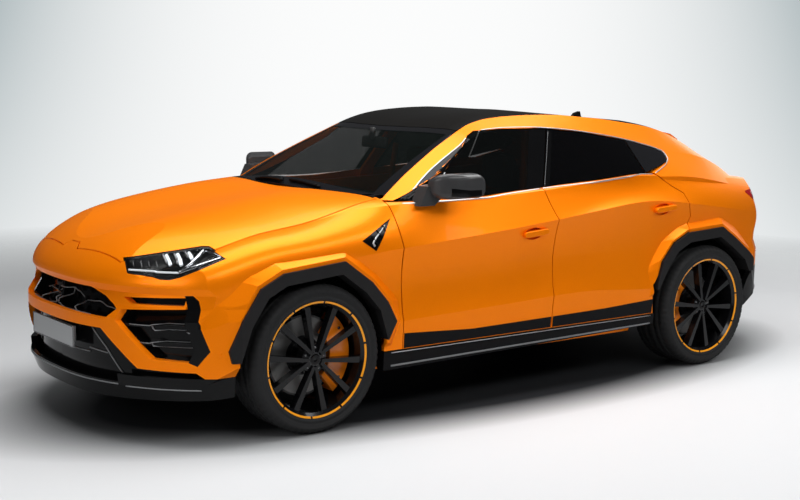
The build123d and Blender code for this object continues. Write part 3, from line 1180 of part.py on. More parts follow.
def wheel_parts(x, y, z, width):
    """Tyre and rim with its brake disc, for a left wheel centred at x, y, z."""
    half = width / 2
    tyre_r = z
    face = half - 16
    with BuildPart() as tyre:
        with BuildSketch(Plane.YZ.offset(x)):
            with BuildLine():
                Polyline((y - half + 12, z + RIM_R), (y - half + 24, z + RIM_R), (y - half + 24, z + BEAD_R),
                         (y + half - 24, z + BEAD_R), (y + half - 24, z + RIM_R), (y + half - 12, z + RIM_R))
                Spline((y + half - 12, z + RIM_R), (y + half, z + RIM_R + 42),
                       (y + half - 12, z + tyre_r - 14), (y + half - 44, z + tyre_r),
                       tangents=[(0.6, 1), (-1, 0)])
                Line((y + half - 44, z + tyre_r), (y - half + 44, z + tyre_r))
                Spline((y - half + 44, z + tyre_r), (y - half + 12, z + tyre_r - 14), (y - half, z + RIM_R + 42),
                       (y - half + 12, z + RIM_R),
                       tangents=[(-1, 0), (0.6, -1)])
            make_face()
        revolve(axis=Axis((x, y, z), (0, 1, 0)))
    with BuildPart() as rim:
        with BuildSketch(Plane.YZ.offset(x)):
            with BuildLine():
                Polyline(
                    (y - face - 6, z + RIM_R), (y - half + 24, z + RIM_R), (y - half + 24, z + BEAD_R),
                    (y + half - 24, z + BEAD_R), (y + half - 24, z + RIM_R), (y + face + 6, z + RIM_R),
                    (y + face + 2, z + RIM_R - 10), (y + face - 14, z + BEAD_R - RIM_WALL),
                    (y - face - 6, z + BEAD_R - RIM_WALL), close=True)
            make_face()
        revolve(axis=Axis((x, y, z), (0, 1, 0)))
        with BuildSketch(Plane.XZ.offset(-(y + face - 62))) as spokes:
            for pair in range(SPOKE_PAIRS):
                for side in (-1, 1):
                    middle = SPOKE_START + 360 / SPOKE_PAIRS * pair
                    inner = math.radians(middle + side * SPOKE_SPREAD_HUB)
                    outer = math.radians(middle + side * SPOKE_SPREAD_RIM)
                    far_r = BEAD_R - RIM_WALL / 2
                    start = (x + 40 * math.cos(inner), z + 40 * math.sin(inner))
                    end = (x + far_r * math.cos(outer), z + far_r * math.sin(outer))
                    across = math.atan2(end[1] - start[1], end[0] - start[0]) + math.pi / 2
                    step = (math.cos(across), math.sin(across))
                    with BuildLine():
                        Polyline(
                            (start[0] + step[0] * SPOKE_HUB_W / 2, start[1] + step[1] * SPOKE_HUB_W / 2),
                            (end[0] + step[0] * SPOKE_RIM_W / 2, end[1] + step[1] * SPOKE_RIM_W / 2),
                            (end[0] - step[0] * SPOKE_RIM_W / 2, end[1] - step[1] * SPOKE_RIM_W / 2),
                            (start[0] - step[0] * SPOKE_HUB_W / 2, start[1] - step[1] * SPOKE_HUB_W / 2),
                            close=True)
                    make_face()
        extrude(amount=-46)
        with BuildSketch(Plane.YZ.offset(x)):
            with BuildLine():
                Polyline(
                    (y - 20, z), (y + face - 24, z), (y + face - 24, z + 34), (y + face - 34, z + HUB_R),
                    (y + 10, z + HUB_R), (y + 10, z + HUB_R + 20), (y - 14, z + HUB_R + 20), (y - 14, z + DISC_R),
                    (y - 14 - DISC_T, z + DISC_R), (y - 14 - DISC_T, z + 95), (y - 20, z + 95), close=True)
            make_face()
        revolve(axis=Axis((x, y, z), (0, 1, 0)))
        with Locations(Location((x, y - 30, z), (90, 0, 0))):
            Cylinder(AXLE_R + BEARING_GAP, 120, mode=Mode.SUBTRACT)
    return tyre.part, rim.part


def caliper_part(x, y, z, caliper_side):
    """A brake caliper straddling the disc; caliper_side is -1 behind the axle, 1 ahead."""
    pin_y = y - KINGPIN_INSET
    start = 180 - 52 if caliper_side < 0 else -52
    ends = [
        [(x + r * math.cos(math.radians(a)), z + r * math.sin(math.radians(a))) for r in (140, CALIPER_R)]
        for a in (start, start + 104)
    ]
    with BuildPart() as caliper:
        with BuildSketch(Plane.XZ.offset(-(pin_y - 16))):
            with BuildLine():
                CenterArc((x, z), CALIPER_R, start, 104)
                CenterArc((x, z), 140, start, 104)
                for end in ends:
                    Line(*end)
            make_face()
        extrude(amount=-(KINGPIN_INSET + 46))
        with Locations(Location((x, y - 14 - DISC_T / 2, z), (90, 0, 0))):
            Cylinder(DISC_R + CALIPER_GAP, DISC_T + 2 * CALIPER_GAP, mode=Mode.SUBTRACT)
    return caliper.part


def knuckle_part(x, y, z, caliper_side):
    """Upright, axle stub and brake caliper for a left wheel."""
    pin_y = y - KINGPIN_INSET
    with BuildPart() as knuckle:
        add(caliper_part(x, y, z, caliper_side))
        with Locations(Location((x, y - 30, z), (90, 0, 0))):
            Cylinder(AXLE_R, 120 - 2)
        with BuildSketch(Plane.XZ.offset(-(pin_y - 16))):
            with BuildLine():
                Polyline(
                    (x - 34, z - KNUCKLE_LOW), (x + 34, z - KNUCKLE_LOW), (x + 72, z), (x + 30, z + KNUCKLE_HIGH),
                    (x - 30, z + KNUCKLE_HIGH),
                    (x - 72, z), close=True)
            make_face()
            with Locations((x + caliper_side * 110, z)):
                Rectangle(150, 90)
        extrude(amount=-28)
        for end_z in (z - KNUCKLE_LOW + KINGPIN_DEEP / 2 - 1, z + KNUCKLE_HIGH - KINGPIN_DEEP / 2 + 1):
            with Locations((x, pin_y, end_z)):
                Cylinder(KINGPIN_R + BEARING_GAP, KINGPIN_DEEP + 2, mode=Mode.SUBTRACT)
    return knuckle.part


for end, x, y, z, width, caliper_side in (
    ("front", FRONT_AXLE, FRONT_WHEEL_Y, FRONT_AXLE_Z, FRONT_TYRE_W, -1),
    ("rear", REAR_AXLE, REAR_WHEEL_Y, REAR_AXLE_Z, REAR_TYRE_W, 1),
):
    tyre, rim = wheel_parts(x, y, z, width)
    write_pair(tyre, f"tyre_{end}")
    write_pair(rim, f"rim_{end}")
front_knuckle = knuckle_part(FRONT_AXLE, FRONT_WHEEL_Y, FRONT_AXLE_Z, -1)
rear_knuckle = knuckle_part(REAR_AXLE, REAR_WHEEL_Y, REAR_AXLE_Z, 1)
write_pair(front_knuckle, "knuckle_front")
with BuildPart() as rear_knuckles:
    add(rear_knuckle)
    mirror(about=Plane.XZ)
finish(rear_knuckles, "rear_knuckles")

# ---------------------------------------------------------------- running gear
SUBFRAME_Y = 330.0
SUBFRAME_Z = 270.0
SHAFT_GAP = 38.0  # from the kingpin to the end of the half shaft


def axle_gear(x, wheel_y, wheel_z):
    """Subframe, arms and half shafts of one axle (both sides)."""
    pin_y = wheel_y - KINGPIN_INSET
    with BuildPart() as gear:
        with Locations((x, 0, SUBFRAME_Z)):
            Box(420, 2 * SUBFRAME_Y, 90)
        with Locations((x, 0, wheel_z)):
            Box(240, 260, 200)
        for side in (-1, 1):
            for z, reach, pin_z in (
                (wheel_z - KNUCKLE_LOW - ARM_GAP - 12, 200, wheel_z - KNUCKLE_LOW + (KINGPIN_DEEP - ARM_GAP - 4) / 2),
                (wheel_z + KNUCKLE_HIGH + ARM_GAP + 12, 120, wheel_z + KNUCKLE_HIGH - (KINGPIN_DEEP - ARM_GAP - 4) / 2),
            ):
                with Locations((x, side * pin_y, pin_z)):
                    Cylinder(KINGPIN_R, KINGPIN_DEEP + ARM_GAP)
                with BuildSketch(Plane.XY.offset(z - 12)):
                    with BuildLine():
                        Polyline(
                            (x - reach, side * (SUBFRAME_Y - 10)), (x + reach, side * (SUBFRAME_Y - 10)),
                            (x + 12, side * (pin_y + 8)), (x - 12, side * (pin_y + 8)), close=True)
                    make_face()
                    with BuildLine():
                        Polyline(
                            (x - reach * 0.55, side * (SUBFRAME_Y + 50)), (x + reach * 0.55, side * (SUBFRAME_Y + 50)),
                            (x, side * (pin_y - 100)), close=True)
                    make_face(mode=Mode.SUBTRACT)
                extrude(amount=24)
            with Locations((x, side * (SUBFRAME_Y - 20), wheel_z + 30)):
                Box(200, 40, 340)
            with Locations(Location((x, side * (pin_y - SHAFT_GAP + 100) / 2, wheel_z), (90, 0, 0))):
                Cylinder(17, pin_y - SHAFT_GAP - 100)
    return gear.part


with BuildPart() as front_suspension:
    add(axle_gear(FRONT_AXLE, FRONT_WHEEL_Y, FRONT_AXLE_Z))
finish(front_suspension, "front_suspension")
with BuildPart() as rear_suspension:
    add(axle_gear(REAR_AXLE, REAR_WHEEL_Y, REAR_AXLE_Z))
finish(rear_suspension, "rear_suspension")
with BuildPart() as engine_block:
    add(block(FRONT_AXLE - 220, FRONT_AXLE + 340, -280, 280, FRONT_AXLE_Z + 100 + SEAT_GAP, 950))
finish(engine_block, "engine_block")

# ---------------------------------------------------------------- floor and structure
FIREWALL_X = front(-530)
FIREWALL_T = 30.0
RISER_X = rear(370)
DECK_Z = 640.0
DECK_T = 40.0
RAIL_IN_Y = 380.0
RAIL_OUT_Y = 450.0
RAIL_Z = (420.0, 520.0)
BEAM_X = front(760)
BEAM_T = 40.0
with BuildPart() as exhaust:
    add(exhaust_pipes(TIP_R, TAIL + 75, TAIL + 300))
    add(exhaust_pipes(TIP_R - 6, TAIL + 60, TAIL + 280), mode=Mode.SUBTRACT)
    add(block(TAIL + 270, TAIL + 500, 300, 590, TIP_Z + 5, TIP_Z + 105))
    add(block(TAIL + 340, TAIL + 430, 0, 310, TIP_Z + 20, TIP_Z + 80))
    add(block(TAIL + 400, TAIL + 420, 420, 440, TIP_Z + 100, DECK_Z - SEAT_GAP))
    mirror(about=Plane.XZ)
finish(exhaust, "exhaust")
with BuildPart() as floor_pan:
    add(block(RISER_X, FIREWALL_X + FIREWALL_T, 0, FRAME_IN_Y, FLOOR_Z, FLOOR_Z + FLOOR_T))
    add(block(FIREWALL_X, FIREWALL_X + FIREWALL_T, 0, FRAME_IN_Y, FLOOR_Z, BELT_Z - 60))
    add(block(RISER_X, RISER_X + 20, 0, REAR_WHEEL_IN_Y - 1, FLOOR_Z, DECK_Z + DECK_T))
    add(block(rear(-890), RISER_X + 20, 0, REAR_WHEEL_IN_Y - 1, DECK_Z, DECK_Z + DECK_T))
    add(block(FIREWALL_X + FIREWALL_T, BEAM_X + BEAM_T, RAIL_IN_Y, RAIL_OUT_Y, *RAIL_Z))
    add(block(BEAM_X, BEAM_X + BEAM_T, 0, RAIL_OUT_Y, RAIL_Z[0], 640))
    add(common(
        Pos(-SEAT_GAP, 0, 0) * common(NOSE_INNER, NOSE_BLOCK), block(BEAM_X, FAR, 0, RAIL_OUT_Y, BAR_BOTTOM_Z + 12, BAR_TOP_Z - 16)))
    add(REAR_LINER_CUT, mode=Mode.SUBTRACT)
    mirror(about=Plane.XZ)
finish(floor_pan, "floor_pan")

HOOD_SLOT = (684.0, 724.0)
with BuildPart() as cowl:
    add(BODY)
    add(BODY_SKIN, mode=Mode.SUBTRACT)
    add(plan_prism([(front(-760), 0), (front(-760), 690), (front(-560), 735), (front(-508), COWL_HALF - 25),
                    (front(-508), COWL_HALF), (front(-496), COWL_HALF), (front(-488), 745), (front(-456), 640),
                    (front(-411), 460), (front(-377), 250), (front(-370), 0)], 1000, 1400), mode=Mode.INTERSECT)
    add(block(FIREWALL_X, FIREWALL_X + FIREWALL_T, 0, 500, BELT_Z - 60, BELT_Z + 5))
    add(block(FIREWALL_X, FIREWALL_X + FIREWALL_T, 490, 720, BELT_Z - 60, BELT_Z - 32))
    add(block(HOOD_HINGE_X - 22, front(-400), *HOOD_SLOT, 1000, 1400), mode=Mode.SUBTRACT)
    with BuildSketch(Plane.XZ.offset(-(HOOD_ARM_Y - 5 - HOOD_LUG_T))):
        with Locations((HOOD_HINGE_X, HOOD_HINGE_Z)):
            Circle(BOSS_R)
        with BuildLine():
            Polyline(
                (HOOD_HINGE_X - BOSS_R, HOOD_HINGE_Z), (HOOD_HINGE_X + BOSS_R, HOOD_HINGE_Z),
                (FIREWALL_X + FIREWALL_T + 2, BELT_Z - 60), (FIREWALL_X, BELT_Z - 60), close=True)
        make_face()
        with Locations((HOOD_HINGE_X, HOOD_HINGE_Z)):
            Circle(BORE_R, mode=Mode.SUBTRACT)
    extrude(amount=-HOOD_LUG_T)
    mirror(about=Plane.XZ)
finish(cowl, "cowl")

# ---------------------------------------------------------------- cabin
FLOOR_TOP = FLOOR_Z + FLOOR_T


def seat(x, y, width, back_top, headrest):
    """A seat from its side profile: cushion, back and headrest."""
    profile = [
        (x - 120, FLOOR_TOP + 120), (x + 420, FLOOR_TOP + 180), (x + 440, FLOOR_TOP + 250), (x + 380, FLOOR_TOP + 285),
        (x + 20, FLOOR_TOP + 225), (x - 90, back_top - 120), (x - 190, back_top - 30), (x - 270, back_top - 40),
        (x - 250, back_top - 200), (x - 160, FLOOR_TOP + 200),
    ]
    with BuildPart() as form:
        add(side_prism(profile, y - width / 2, y + width / 2))
        add(block(x - 60, x + 340, y - width / 2 + 60, y + width / 2 - 60, FLOOR_TOP, FLOOR_TOP + 190))
        if headrest:
            add(side_prism(
                [(x - 150, back_top - 60), (x - 190, back_top + 130), (x - 280, back_top + 130), (x - 270, back_top - 60)],
                y - 130, y + 130))
    return form.part


FRONT_SEAT_X = front(-1500)
REAR_SEAT_X = rear(600)
with BuildPart() as front_seats:
    add(seat(FRONT_SEAT_X, 390, 520, 1250, True))
    mirror(about=Plane.XZ)
finish(front_seats, "front_seats")
with BuildPart() as rear_seat:
    add(seat(REAR_SEAT_X, 0, 1180, 1190, False))
finish(rear_seat, "rear_seat")
WHEEL_HUB = (FIREWALL_X - 470, 390, 975)
STEERING_TILT = 24.0
STEERING_AXIS = (-math.cos(math.radians(STEERING_TILT)), 0, math.sin(math.radians(STEERING_TILT)))
COLUMN_R = 14.0
COLUMN_LENGTH = 190.0
with BuildPart() as dashboard:
    add(side_prism(
        [(FIREWALL_X - SEAT_GAP, 1110), (FIREWALL_X - 160, 1130), (FIREWALL_X - 340, 1090), (FIREWALL_X - 370, 960),
         (FIREWALL_X - 260, 820), (FIREWALL_X - 120, 760), (FIREWALL_X - SEAT_GAP, 760)], -FRAME_IN_Y + 5, FRAME_IN_Y - 5))
    add(side_prism(
        [(FIREWALL_X - 200, FLOOR_TOP), (FIREWALL_X - 200, 900), (FIREWALL_X - 400, 800), (front(-1300), 660),
         (front(-1750), 640), (front(-1750), FLOOR_TOP)], -115, 115))
    with BuildSketch(Plane(origin=WHEEL_HUB, z_dir=STEERING_AXIS, x_dir=(0, 1, 0)).offset(-COLUMN_LENGTH - 60)):
        Circle(46)
    extrude(amount=COLUMN_LENGTH + 20)
    with BuildSketch(Plane(origin=WHEEL_HUB, z_dir=STEERING_AXIS, x_dir=(0, 1, 0)).offset(-COLUMN_LENGTH - 5)):
        Circle(COLUMN_R + BEARING_GAP)
    extrude(amount=COLUMN_LENGTH, mode=Mode.SUBTRACT)
finish(dashboard, "dashboard")
with BuildPart() as steering_wheel:
    with BuildSketch(Plane(origin=WHEEL_HUB, z_dir=STEERING_AXIS, x_dir=(0, 1, 0))):
        Circle(186)
        Circle(158, mode=Mode.SUBTRACT)
        Rectangle(330, 44)
        with Locations((0, -80)):
            Rectangle(44, 170)
        Circle(62)
    extrude(amount=26)
    with BuildSketch(Plane(origin=WHEEL_HUB, z_dir=STEERING_AXIS, x_dir=(0, 1, 0))):
        Circle(COLUMN_R)
    extrude(amount=-COLUMN_LENGTH)
finish(steering_wheel, "steering_wheel")
MIRROR_IN_Y = 935.0
MIRROR_ROUND = 36.0
MIRROR_SECTIONS = (  # y, rear and front x, low and high z
    (945, 600, 800, 1205, 1300), (1000, 565, 785, 1190, 1322), (1050, 530, 740, 1188, 1325),
    (1090, 515, 640, 1200, 1300),
)
with BuildPart() as mirror_left:
    for y, rear_x, front_x, low_z, high_z in MIRROR_SECTIONS:
        with BuildSketch(Plane.XZ.offset(-y)):
            with Locations(((rear_x + front_x) / 2, (low_z + high_z) / 2)):
                RectangleRounded(front_x - rear_x, high_z - low_z, MIRROR_ROUND)
    loft()
    with BuildSketch(Plane.XZ.offset(-(MIRROR_IN_Y + 30))):
        with BuildLine():
            Polyline((front(-820), 1262), (front(-850), 1225), (front(-760), 1150), (front(-660), 1150), (front(-710), 1255),
                     close=True)
        make_face()
    extrude(amount=90)
    add(BODY, mode=Mode.SUBTRACT)
    add(cabin_form(GLASS_INSET - SEAT_GAP), mode=Mode.SUBTRACT)
write_pair(mirror_left.part, "mirror")
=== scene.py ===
"""Dresses a coupe-roofed sport utility vehicle for its studio picture.

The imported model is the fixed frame. Each class below builds one sub-assembly's pieces round it
and gives the CAD nodes of that sub-assembly their finishes.
"""

import json
import logging
import math
from dataclasses import dataclass, field
from enum import Enum
from typing import Any, Callable, Iterable, Optional, Sequence, Union

import bmesh
import bpy
from mathutils import Matrix, Vector
from mathutils.bvhtree import BVHTree

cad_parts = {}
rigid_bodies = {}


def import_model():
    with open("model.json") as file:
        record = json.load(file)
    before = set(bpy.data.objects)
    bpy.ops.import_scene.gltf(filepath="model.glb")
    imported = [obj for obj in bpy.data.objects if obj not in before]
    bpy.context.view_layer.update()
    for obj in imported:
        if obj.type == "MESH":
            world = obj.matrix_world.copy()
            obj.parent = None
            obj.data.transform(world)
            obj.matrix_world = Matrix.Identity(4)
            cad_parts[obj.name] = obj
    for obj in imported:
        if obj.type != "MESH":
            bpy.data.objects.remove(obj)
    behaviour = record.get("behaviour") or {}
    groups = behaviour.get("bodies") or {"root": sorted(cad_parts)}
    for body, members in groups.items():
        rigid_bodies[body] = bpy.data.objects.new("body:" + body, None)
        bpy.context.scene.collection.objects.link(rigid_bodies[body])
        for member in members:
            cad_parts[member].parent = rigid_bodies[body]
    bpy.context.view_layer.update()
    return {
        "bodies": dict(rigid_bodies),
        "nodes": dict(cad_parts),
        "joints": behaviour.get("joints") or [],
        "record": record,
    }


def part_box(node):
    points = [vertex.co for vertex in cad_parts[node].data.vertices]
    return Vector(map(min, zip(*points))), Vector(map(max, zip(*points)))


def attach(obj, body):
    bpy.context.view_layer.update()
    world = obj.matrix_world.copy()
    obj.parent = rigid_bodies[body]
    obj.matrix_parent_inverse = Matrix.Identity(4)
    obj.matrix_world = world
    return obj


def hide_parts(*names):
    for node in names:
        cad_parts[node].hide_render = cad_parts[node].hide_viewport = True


LOG = logging.getLogger("vehicle")
Colour = tuple[float, float, float]
Point = Sequence[float]

Line = Sequence[tuple[float, float]]
Laid = tuple[list[Vector], list[Vector]]

MM = 0.001
FULL_TURN = 2 * math.pi
SEAM_WIDTH = 0.006
SEAM_DEPTH = 0.007


class Side(Enum):
    """A side of the vehicle, with its sign along Y."""

    LEFT = 1
    RIGHT = -1

    @property
    def label(self) -> str:
        """The side's name in the names of nodes, pieces and bodies."""
        return self.name.lower()


class End(Enum):
    """An end of the vehicle, with its sign along X."""

    FRONT = 1
    REAR = -1

    @property
    def label(self) -> str:
        """The end's name in the names of nodes, pieces and bodies."""
        return self.name.lower()


class View(Enum):
    """Where trims are laid on the skin from: the axis looked along, and the place on it of the eye."""

    SIDE = (1, 1.4)
    FRONT = (0, 3.2)
    REAR = (0, -3.2)
    ABOVE = (2, 2.5)

    def ray(self, flat: tuple[float, float]) -> Vector:
        """The start of a ray that looks at a flat point."""
        axis, start = self.value
        first, second = (index for index in range(3) if index != axis)
        ray = Vector((0.0, 0.0, 0.0))
        ray[axis], ray[first], ray[second] = start, flat[0], flat[1]
        return ray

    @property
    def way(self) -> Vector:
        """The direction of the rays."""
        axis, start = self.value
        way = Vector((0.0, 0.0, 0.0))
        way[axis] = -math.copysign(1.0, start)
        return way


def around(count: int) -> list[float]:
    """Even angles round a full turn."""
    return [FULL_TURN * index / count for index in range(count)]


# ------------------------------------------------------------------ shader maths
class Value:
    """A number socket on which Python's operators add Math nodes."""

    def __init__(self, graph: "Graph", socket: bpy.types.NodeSocket) -> None:
        """Wraps an output socket of a graph."""
        self.graph = graph
        self.socket = socket

    def _math(self, operation: str, other: Any = None, swap: bool = False, clamp: bool = False) -> "Value":
        """Adds a Math node.

        Args:
            operation: the Math node's operation.
            other: the second operand, a number or a Value.
            swap: True to put the operands the other way round.
            clamp: True to clamp the result between 0 and 1.

        Returns:
            The node's result.
        """
        pair = [self, other] if other is not None else [self]
        if swap:
            pair.reverse()
        inputs = {index: item for index, item in enumerate(pair)}
        return self.graph.node("ShaderNodeMath", {"operation": operation, "use_clamp": clamp}, inputs).value()

    def __add__(self, other: Any) -> "Value":
        """Adds two numbers."""
        return self._math("ADD", other)

    def __radd__(self, other: Any) -> "Value":
        """Adds two numbers."""
        return self._math("ADD", other)

    def __sub__(self, other: Any) -> "Value":
        """Takes a number away."""
        return self._math("SUBTRACT", other)

    def __rsub__(self, other: Any) -> "Value":
        """Takes this number from another."""
        return self._math("SUBTRACT", other, swap=True)

    def __mul__(self, other: Any) -> "Value":
        """Multiplies two numbers."""
        return self._math("MULTIPLY", other)

    def __rmul__(self, other: Any) -> "Value":
        """Multiplies two numbers."""
        return self._math("MULTIPLY", other)

    def __truediv__(self, other: Any) -> "Value":
        """Divides by a number."""
        return self._math("DIVIDE", other)

    def __pow__(self, other: Any) -> "Value":
        """Raises to a power."""
        return self._math("POWER", other)

    def __abs__(self) -> "Value":
        """The size of the number."""
        return self._math("ABSOLUTE")

    def lowest(self, other: Any) -> "Value":
        """The smaller of two numbers."""
        return self._math("MINIMUM", other)

    def highest(self, other: Any) -> "Value":
        """The larger of two numbers."""
        return self._math("MAXIMUM", other)

    def fraction(self) -> "Value":
        """What follows the decimal point."""
        return self._math("FRACT")

    def sine(self) -> "Value":
        """The sine of an angle in radians."""
        return self._math("SINE")

    def clamped(self) -> "Value":
        """The number kept between 0 and 1."""
        return self._math("ADD", 0.0, clamp=True)

    def above(self, limit: Any, soft: float = 0.002) -> "Value":
        """A mask that is 1 where the number is above a limit, with a soft edge."""
        return ((self - limit) / soft + 0.5).clamped()

    def below(self, limit: Any, soft: float = 0.002) -> "Value":
        """A mask that is 1 where the number is below a limit, with a soft edge."""
        return 1 - self.above(limit, soft)

    def between(self, low: Any, high: Any, soft: float = 0.002) -> "Value":
        """A mask that is 1 between two limits."""
        return self.above(low, soft) * self.below(high, soft)


@dataclass
class NodeResult:
    """A node that has been added to a graph."""

    graph: "Graph"
    node: bpy.types.Node

    def out(self, name: Union[int, str] = 0) -> bpy.types.NodeSocket:
        """One of the node's output sockets."""
        return self.node.outputs[name]

    def value(self, name: Union[int, str] = 0) -> Value:
        """One of the node's output sockets as a number."""
        return Value(self.graph, self.node.outputs[name])


class Graph:
    """The node tree of one material or of the world."""

    def __init__(self, tree: bpy.types.NodeTree) -> None:
        """Empties a node tree to fill it again."""
        self.tree = tree
        self.tree.nodes.clear()
        self._place: Optional[NodeResult] = None

    def node(self, kind: str, settings: Optional[dict[str, Any]] = None,
             inputs: Optional[dict[Union[int, str], Any]] = None) -> NodeResult:
        """Adds a node.

        Args:
            kind: the node's type.
            settings: its own settings, which are set first; "ramp" holds a colour ramp's stops.
            inputs: values, sockets or Values for its input sockets.

        Returns:
            The node.
        """
        made = self.tree.nodes.new(kind)
        for name, setting in (settings or {}).items():
            if name == "ramp":
                self._stops(made.color_ramp, setting)
            else:
                setattr(made, name, setting)
        for name, item in (inputs or {}).items():
            socket = made.inputs[name]
            if isinstance(item, Value):
                item = item.socket
            if isinstance(item, bpy.types.NodeSocket):
                self.tree.links.new(item, socket)
            elif isinstance(item, tuple) and len(item) == 3 and socket.type == "RGBA":
                socket.default_value = (*item, 1.0)
            else:
                socket.default_value = item
        return NodeResult(self, made)

    @staticmethod
    def _stops(ramp: bpy.types.ColorRamp, stops: Sequence[tuple[float, Colour]]) -> None:
        """Sets the stops of a colour ramp."""
        while len(ramp.elements) > 1:
            ramp.elements.remove(ramp.elements[-1])
        for index, (place, colour) in enumerate(stops):
            element = ramp.elements[0] if index == 0 else ramp.elements.new(place)
            element.position = place
            element.color = (*colour, 1.0)

    def place(self) -> bpy.types.NodeSocket:
        """Where a point of the surface is, in the object's own frame."""
        if self._place is None:
            self._place = self.node("ShaderNodeTexCoord")
        return self._place.out("Object")

    def axes(self) -> tuple[Value, Value, Value]:
        """The three coordinates of a point of the surface."""
        split = self.node("ShaderNodeSeparateXYZ", None, {0: self.place()})
        return split.value("X"), split.value("Y"), split.value("Z")

    def noise(self, scale: float, detail: float = 2.0, roughness: float = 0.5) -> Value:
        """A fractal noise between 0 and 1."""
        return self.node("ShaderNodeTexNoise", None, {
            "Vector": self.place(), "Scale": scale, "Detail": detail, "Roughness": roughness}).value(0)

    def mix(self, factor: Any, first: Any, second: Any) -> bpy.types.NodeSocket:
        """A mix of two colours."""
        made = self.node("ShaderNodeMix", {"data_type": "RGBA"}, {0: factor, 6: first, 7: second})
        return made.out(2)

    def bump(self, height: Any, strength: float, distance: float) -> bpy.types.NodeSocket:
        """A normal that is tilted by a height."""
        return self.node("ShaderNodeBump", None, {
            "Height": height, "Strength": strength, "Distance": distance}).out("Normal")


# ------------------------------------------------------------------ finishes
@dataclass(frozen=True)
class Finish:
    """A surface finish; each kind of finish fills in its own shader."""

    name: str
    colour: Colour
    roughness: float = 0.5
    metallic: float = 0.0
    coat: float = 0.0
    grain: float = 0.0
    grain_scale: float = 400.0
    specular: float = 0.5

    def material(self) -> bpy.types.Material:
        """The finish's material, made once."""
        made = bpy.data.materials.get(self.name)
        if made is None:
            made = bpy.data.materials.new(self.name)
            made.use_nodes = True
            graph = Graph(made.node_tree)
            shader = graph.node("ShaderNodeBsdfPrincipled", None, self.constants())
            for socket, item in self.varying(graph).items():
                graph.tree.links.new(item.socket if isinstance(item, Value) else item,
                                     shader.node.inputs[socket])
            graph.node("ShaderNodeOutputMaterial", None, {"Surface": shader.out()})
        return made

    def constants(self) -> dict[str, Any]:
        """The values that are the same all over the surface."""
        return {"Base Color": self.colour, "Roughness": self.roughness, "Metallic": self.metallic,
                "Coat Weight": self.coat, "Coat Roughness": 0.03, "Specular IOR Level": self.specular}

    def varying(self, graph: Graph) -> dict[str, Any]:
        """The sockets that change over the surface: a fine grain, and a little unevenness."""
        cloud = graph.noise(7.0, 3.0)
        result: dict[str, Any] = {
            "Roughness": self.roughness * (0.88 + 0.24 * cloud),
            "Base Color": graph.mix(cloud, self.shade(0.92), self.shade(1.08)),
        }
        if self.grain:
            result["Normal"] = graph.bump(graph.noise(self.grain_scale, 2.0), self.grain, 0.0005)
        return result

    def shade(self, amount: float) -> Colour:
        """The finish's colour made lighter or darker."""
        return tuple(min(channel * amount, 1.0) for channel in self.colour)


@dataclass(frozen=True)
class PearlPaint(Finish):
    """Bright pearl paint with fine flakes under clear coat."""

    flake_scale: float = 1400.0
    peel_scale: float = 900.0

    def varying(self, graph: Graph) -> dict[str, Any]:
        """Flakes that differ in tint and gloss, and a trace of orange peel."""
        flakes = graph.node("ShaderNodeTexVoronoi", None,
                            {"Vector": graph.place(), "Scale": self.flake_scale})
        tint = graph.node("ShaderNodeSeparateColor", None, {0: flakes.out("Color")}).value(0)
        cloud = graph.noise(3.0, 2.0)
        return {"Base Color": graph.mix(tint * 0.5 + cloud * 0.3, self.shade(0.9), self.shade(1.12)),
                "Roughness": self.roughness - 0.05 + 0.10 * tint,
                "Normal": graph.bump(graph.noise(self.peel_scale, 1.0), 0.03, 0.0003)}


@dataclass(frozen=True)
class ScreenGlass(Finish):
    """Window glass: clear or dark, with a black ceramic border."""

    alpha: float = 0.25
    ior: float = 1.2
    border: Optional[Callable[[Graph], Value]] = None
    border_colour: Colour = (0.008, 0.008, 0.009)

    def constants(self) -> dict[str, Any]:
        """Thin glass that reflects and lets light through."""
        return {**super().constants(), "Alpha": self.alpha, "Roughness": 0.02, "IOR": self.ior}

    def varying(self, graph: Graph) -> dict[str, Any]:
        """The border and faint streaks."""
        streak = graph.noise(5.0, 2.0)
        result: dict[str, Any] = {"Roughness": 0.015 + 0.02 * streak}
        if self.border is not None:
            mask = self.border(graph)
            result["Alpha"] = self.alpha * (1 - mask) + mask
            result["Base Color"] = graph.mix(mask, self.colour, self.border_colour)
        else:
            result["Base Color"] = graph.mix(streak, self.shade(0.9), self.shade(1.1))
        return result


@dataclass(frozen=True)
class CarbonWeave(Finish):
    """Woven carbon fibre under clear coat."""

    tows_per_metre: float = 260.0

    def varying(self, graph: Graph) -> dict[str, Any]:
        """A two by two twill of dark grey tows."""
        along, across, height = graph.axes()
        first = ((along + across) * self.tows_per_metre).fraction().above(0.5, 0.2)
        second = ((height - across * 0.5) * self.tows_per_metre).fraction().above(0.5, 0.2)
        check = first * second + (1 - first) * (1 - second)
        return {"Base Color": graph.mix(check, self.shade(0.55), self.shade(1.5)),
                "Roughness": 0.25 + 0.2 * check}


@dataclass(frozen=True)
class Emissive(Finish):
    """A lamp part that glows a little."""

    glow: float = 1.0

    def constants(self) -> dict[str, Any]:
        """The glow is the same all over."""
        return {**super().constants(), "Emission Color": self.colour, "Emission Strength": self.glow}


@dataclass(frozen=True)
class Leather(Finish):
    """Grained leather with fine creases."""

    cell_scale: float = 320.0

    def varying(self, graph: Graph) -> dict[str, Any]:
        """Grain cells and wear."""
        cells = graph.node("ShaderNodeTexVoronoi", {"feature": "DISTANCE_TO_EDGE"}, {
            "Vector": graph.place(), "Scale": self.cell_scale}).value(0)
        wear = graph.noise(9.0, 3.0)
        return {"Base Color": graph.mix(wear, self.shade(0.8), self.shade(1.25)),
                "Roughness": self.roughness * (0.85 + 0.3 * wear),
                "Normal": graph.bump(cells, 0.35, 0.0006)}


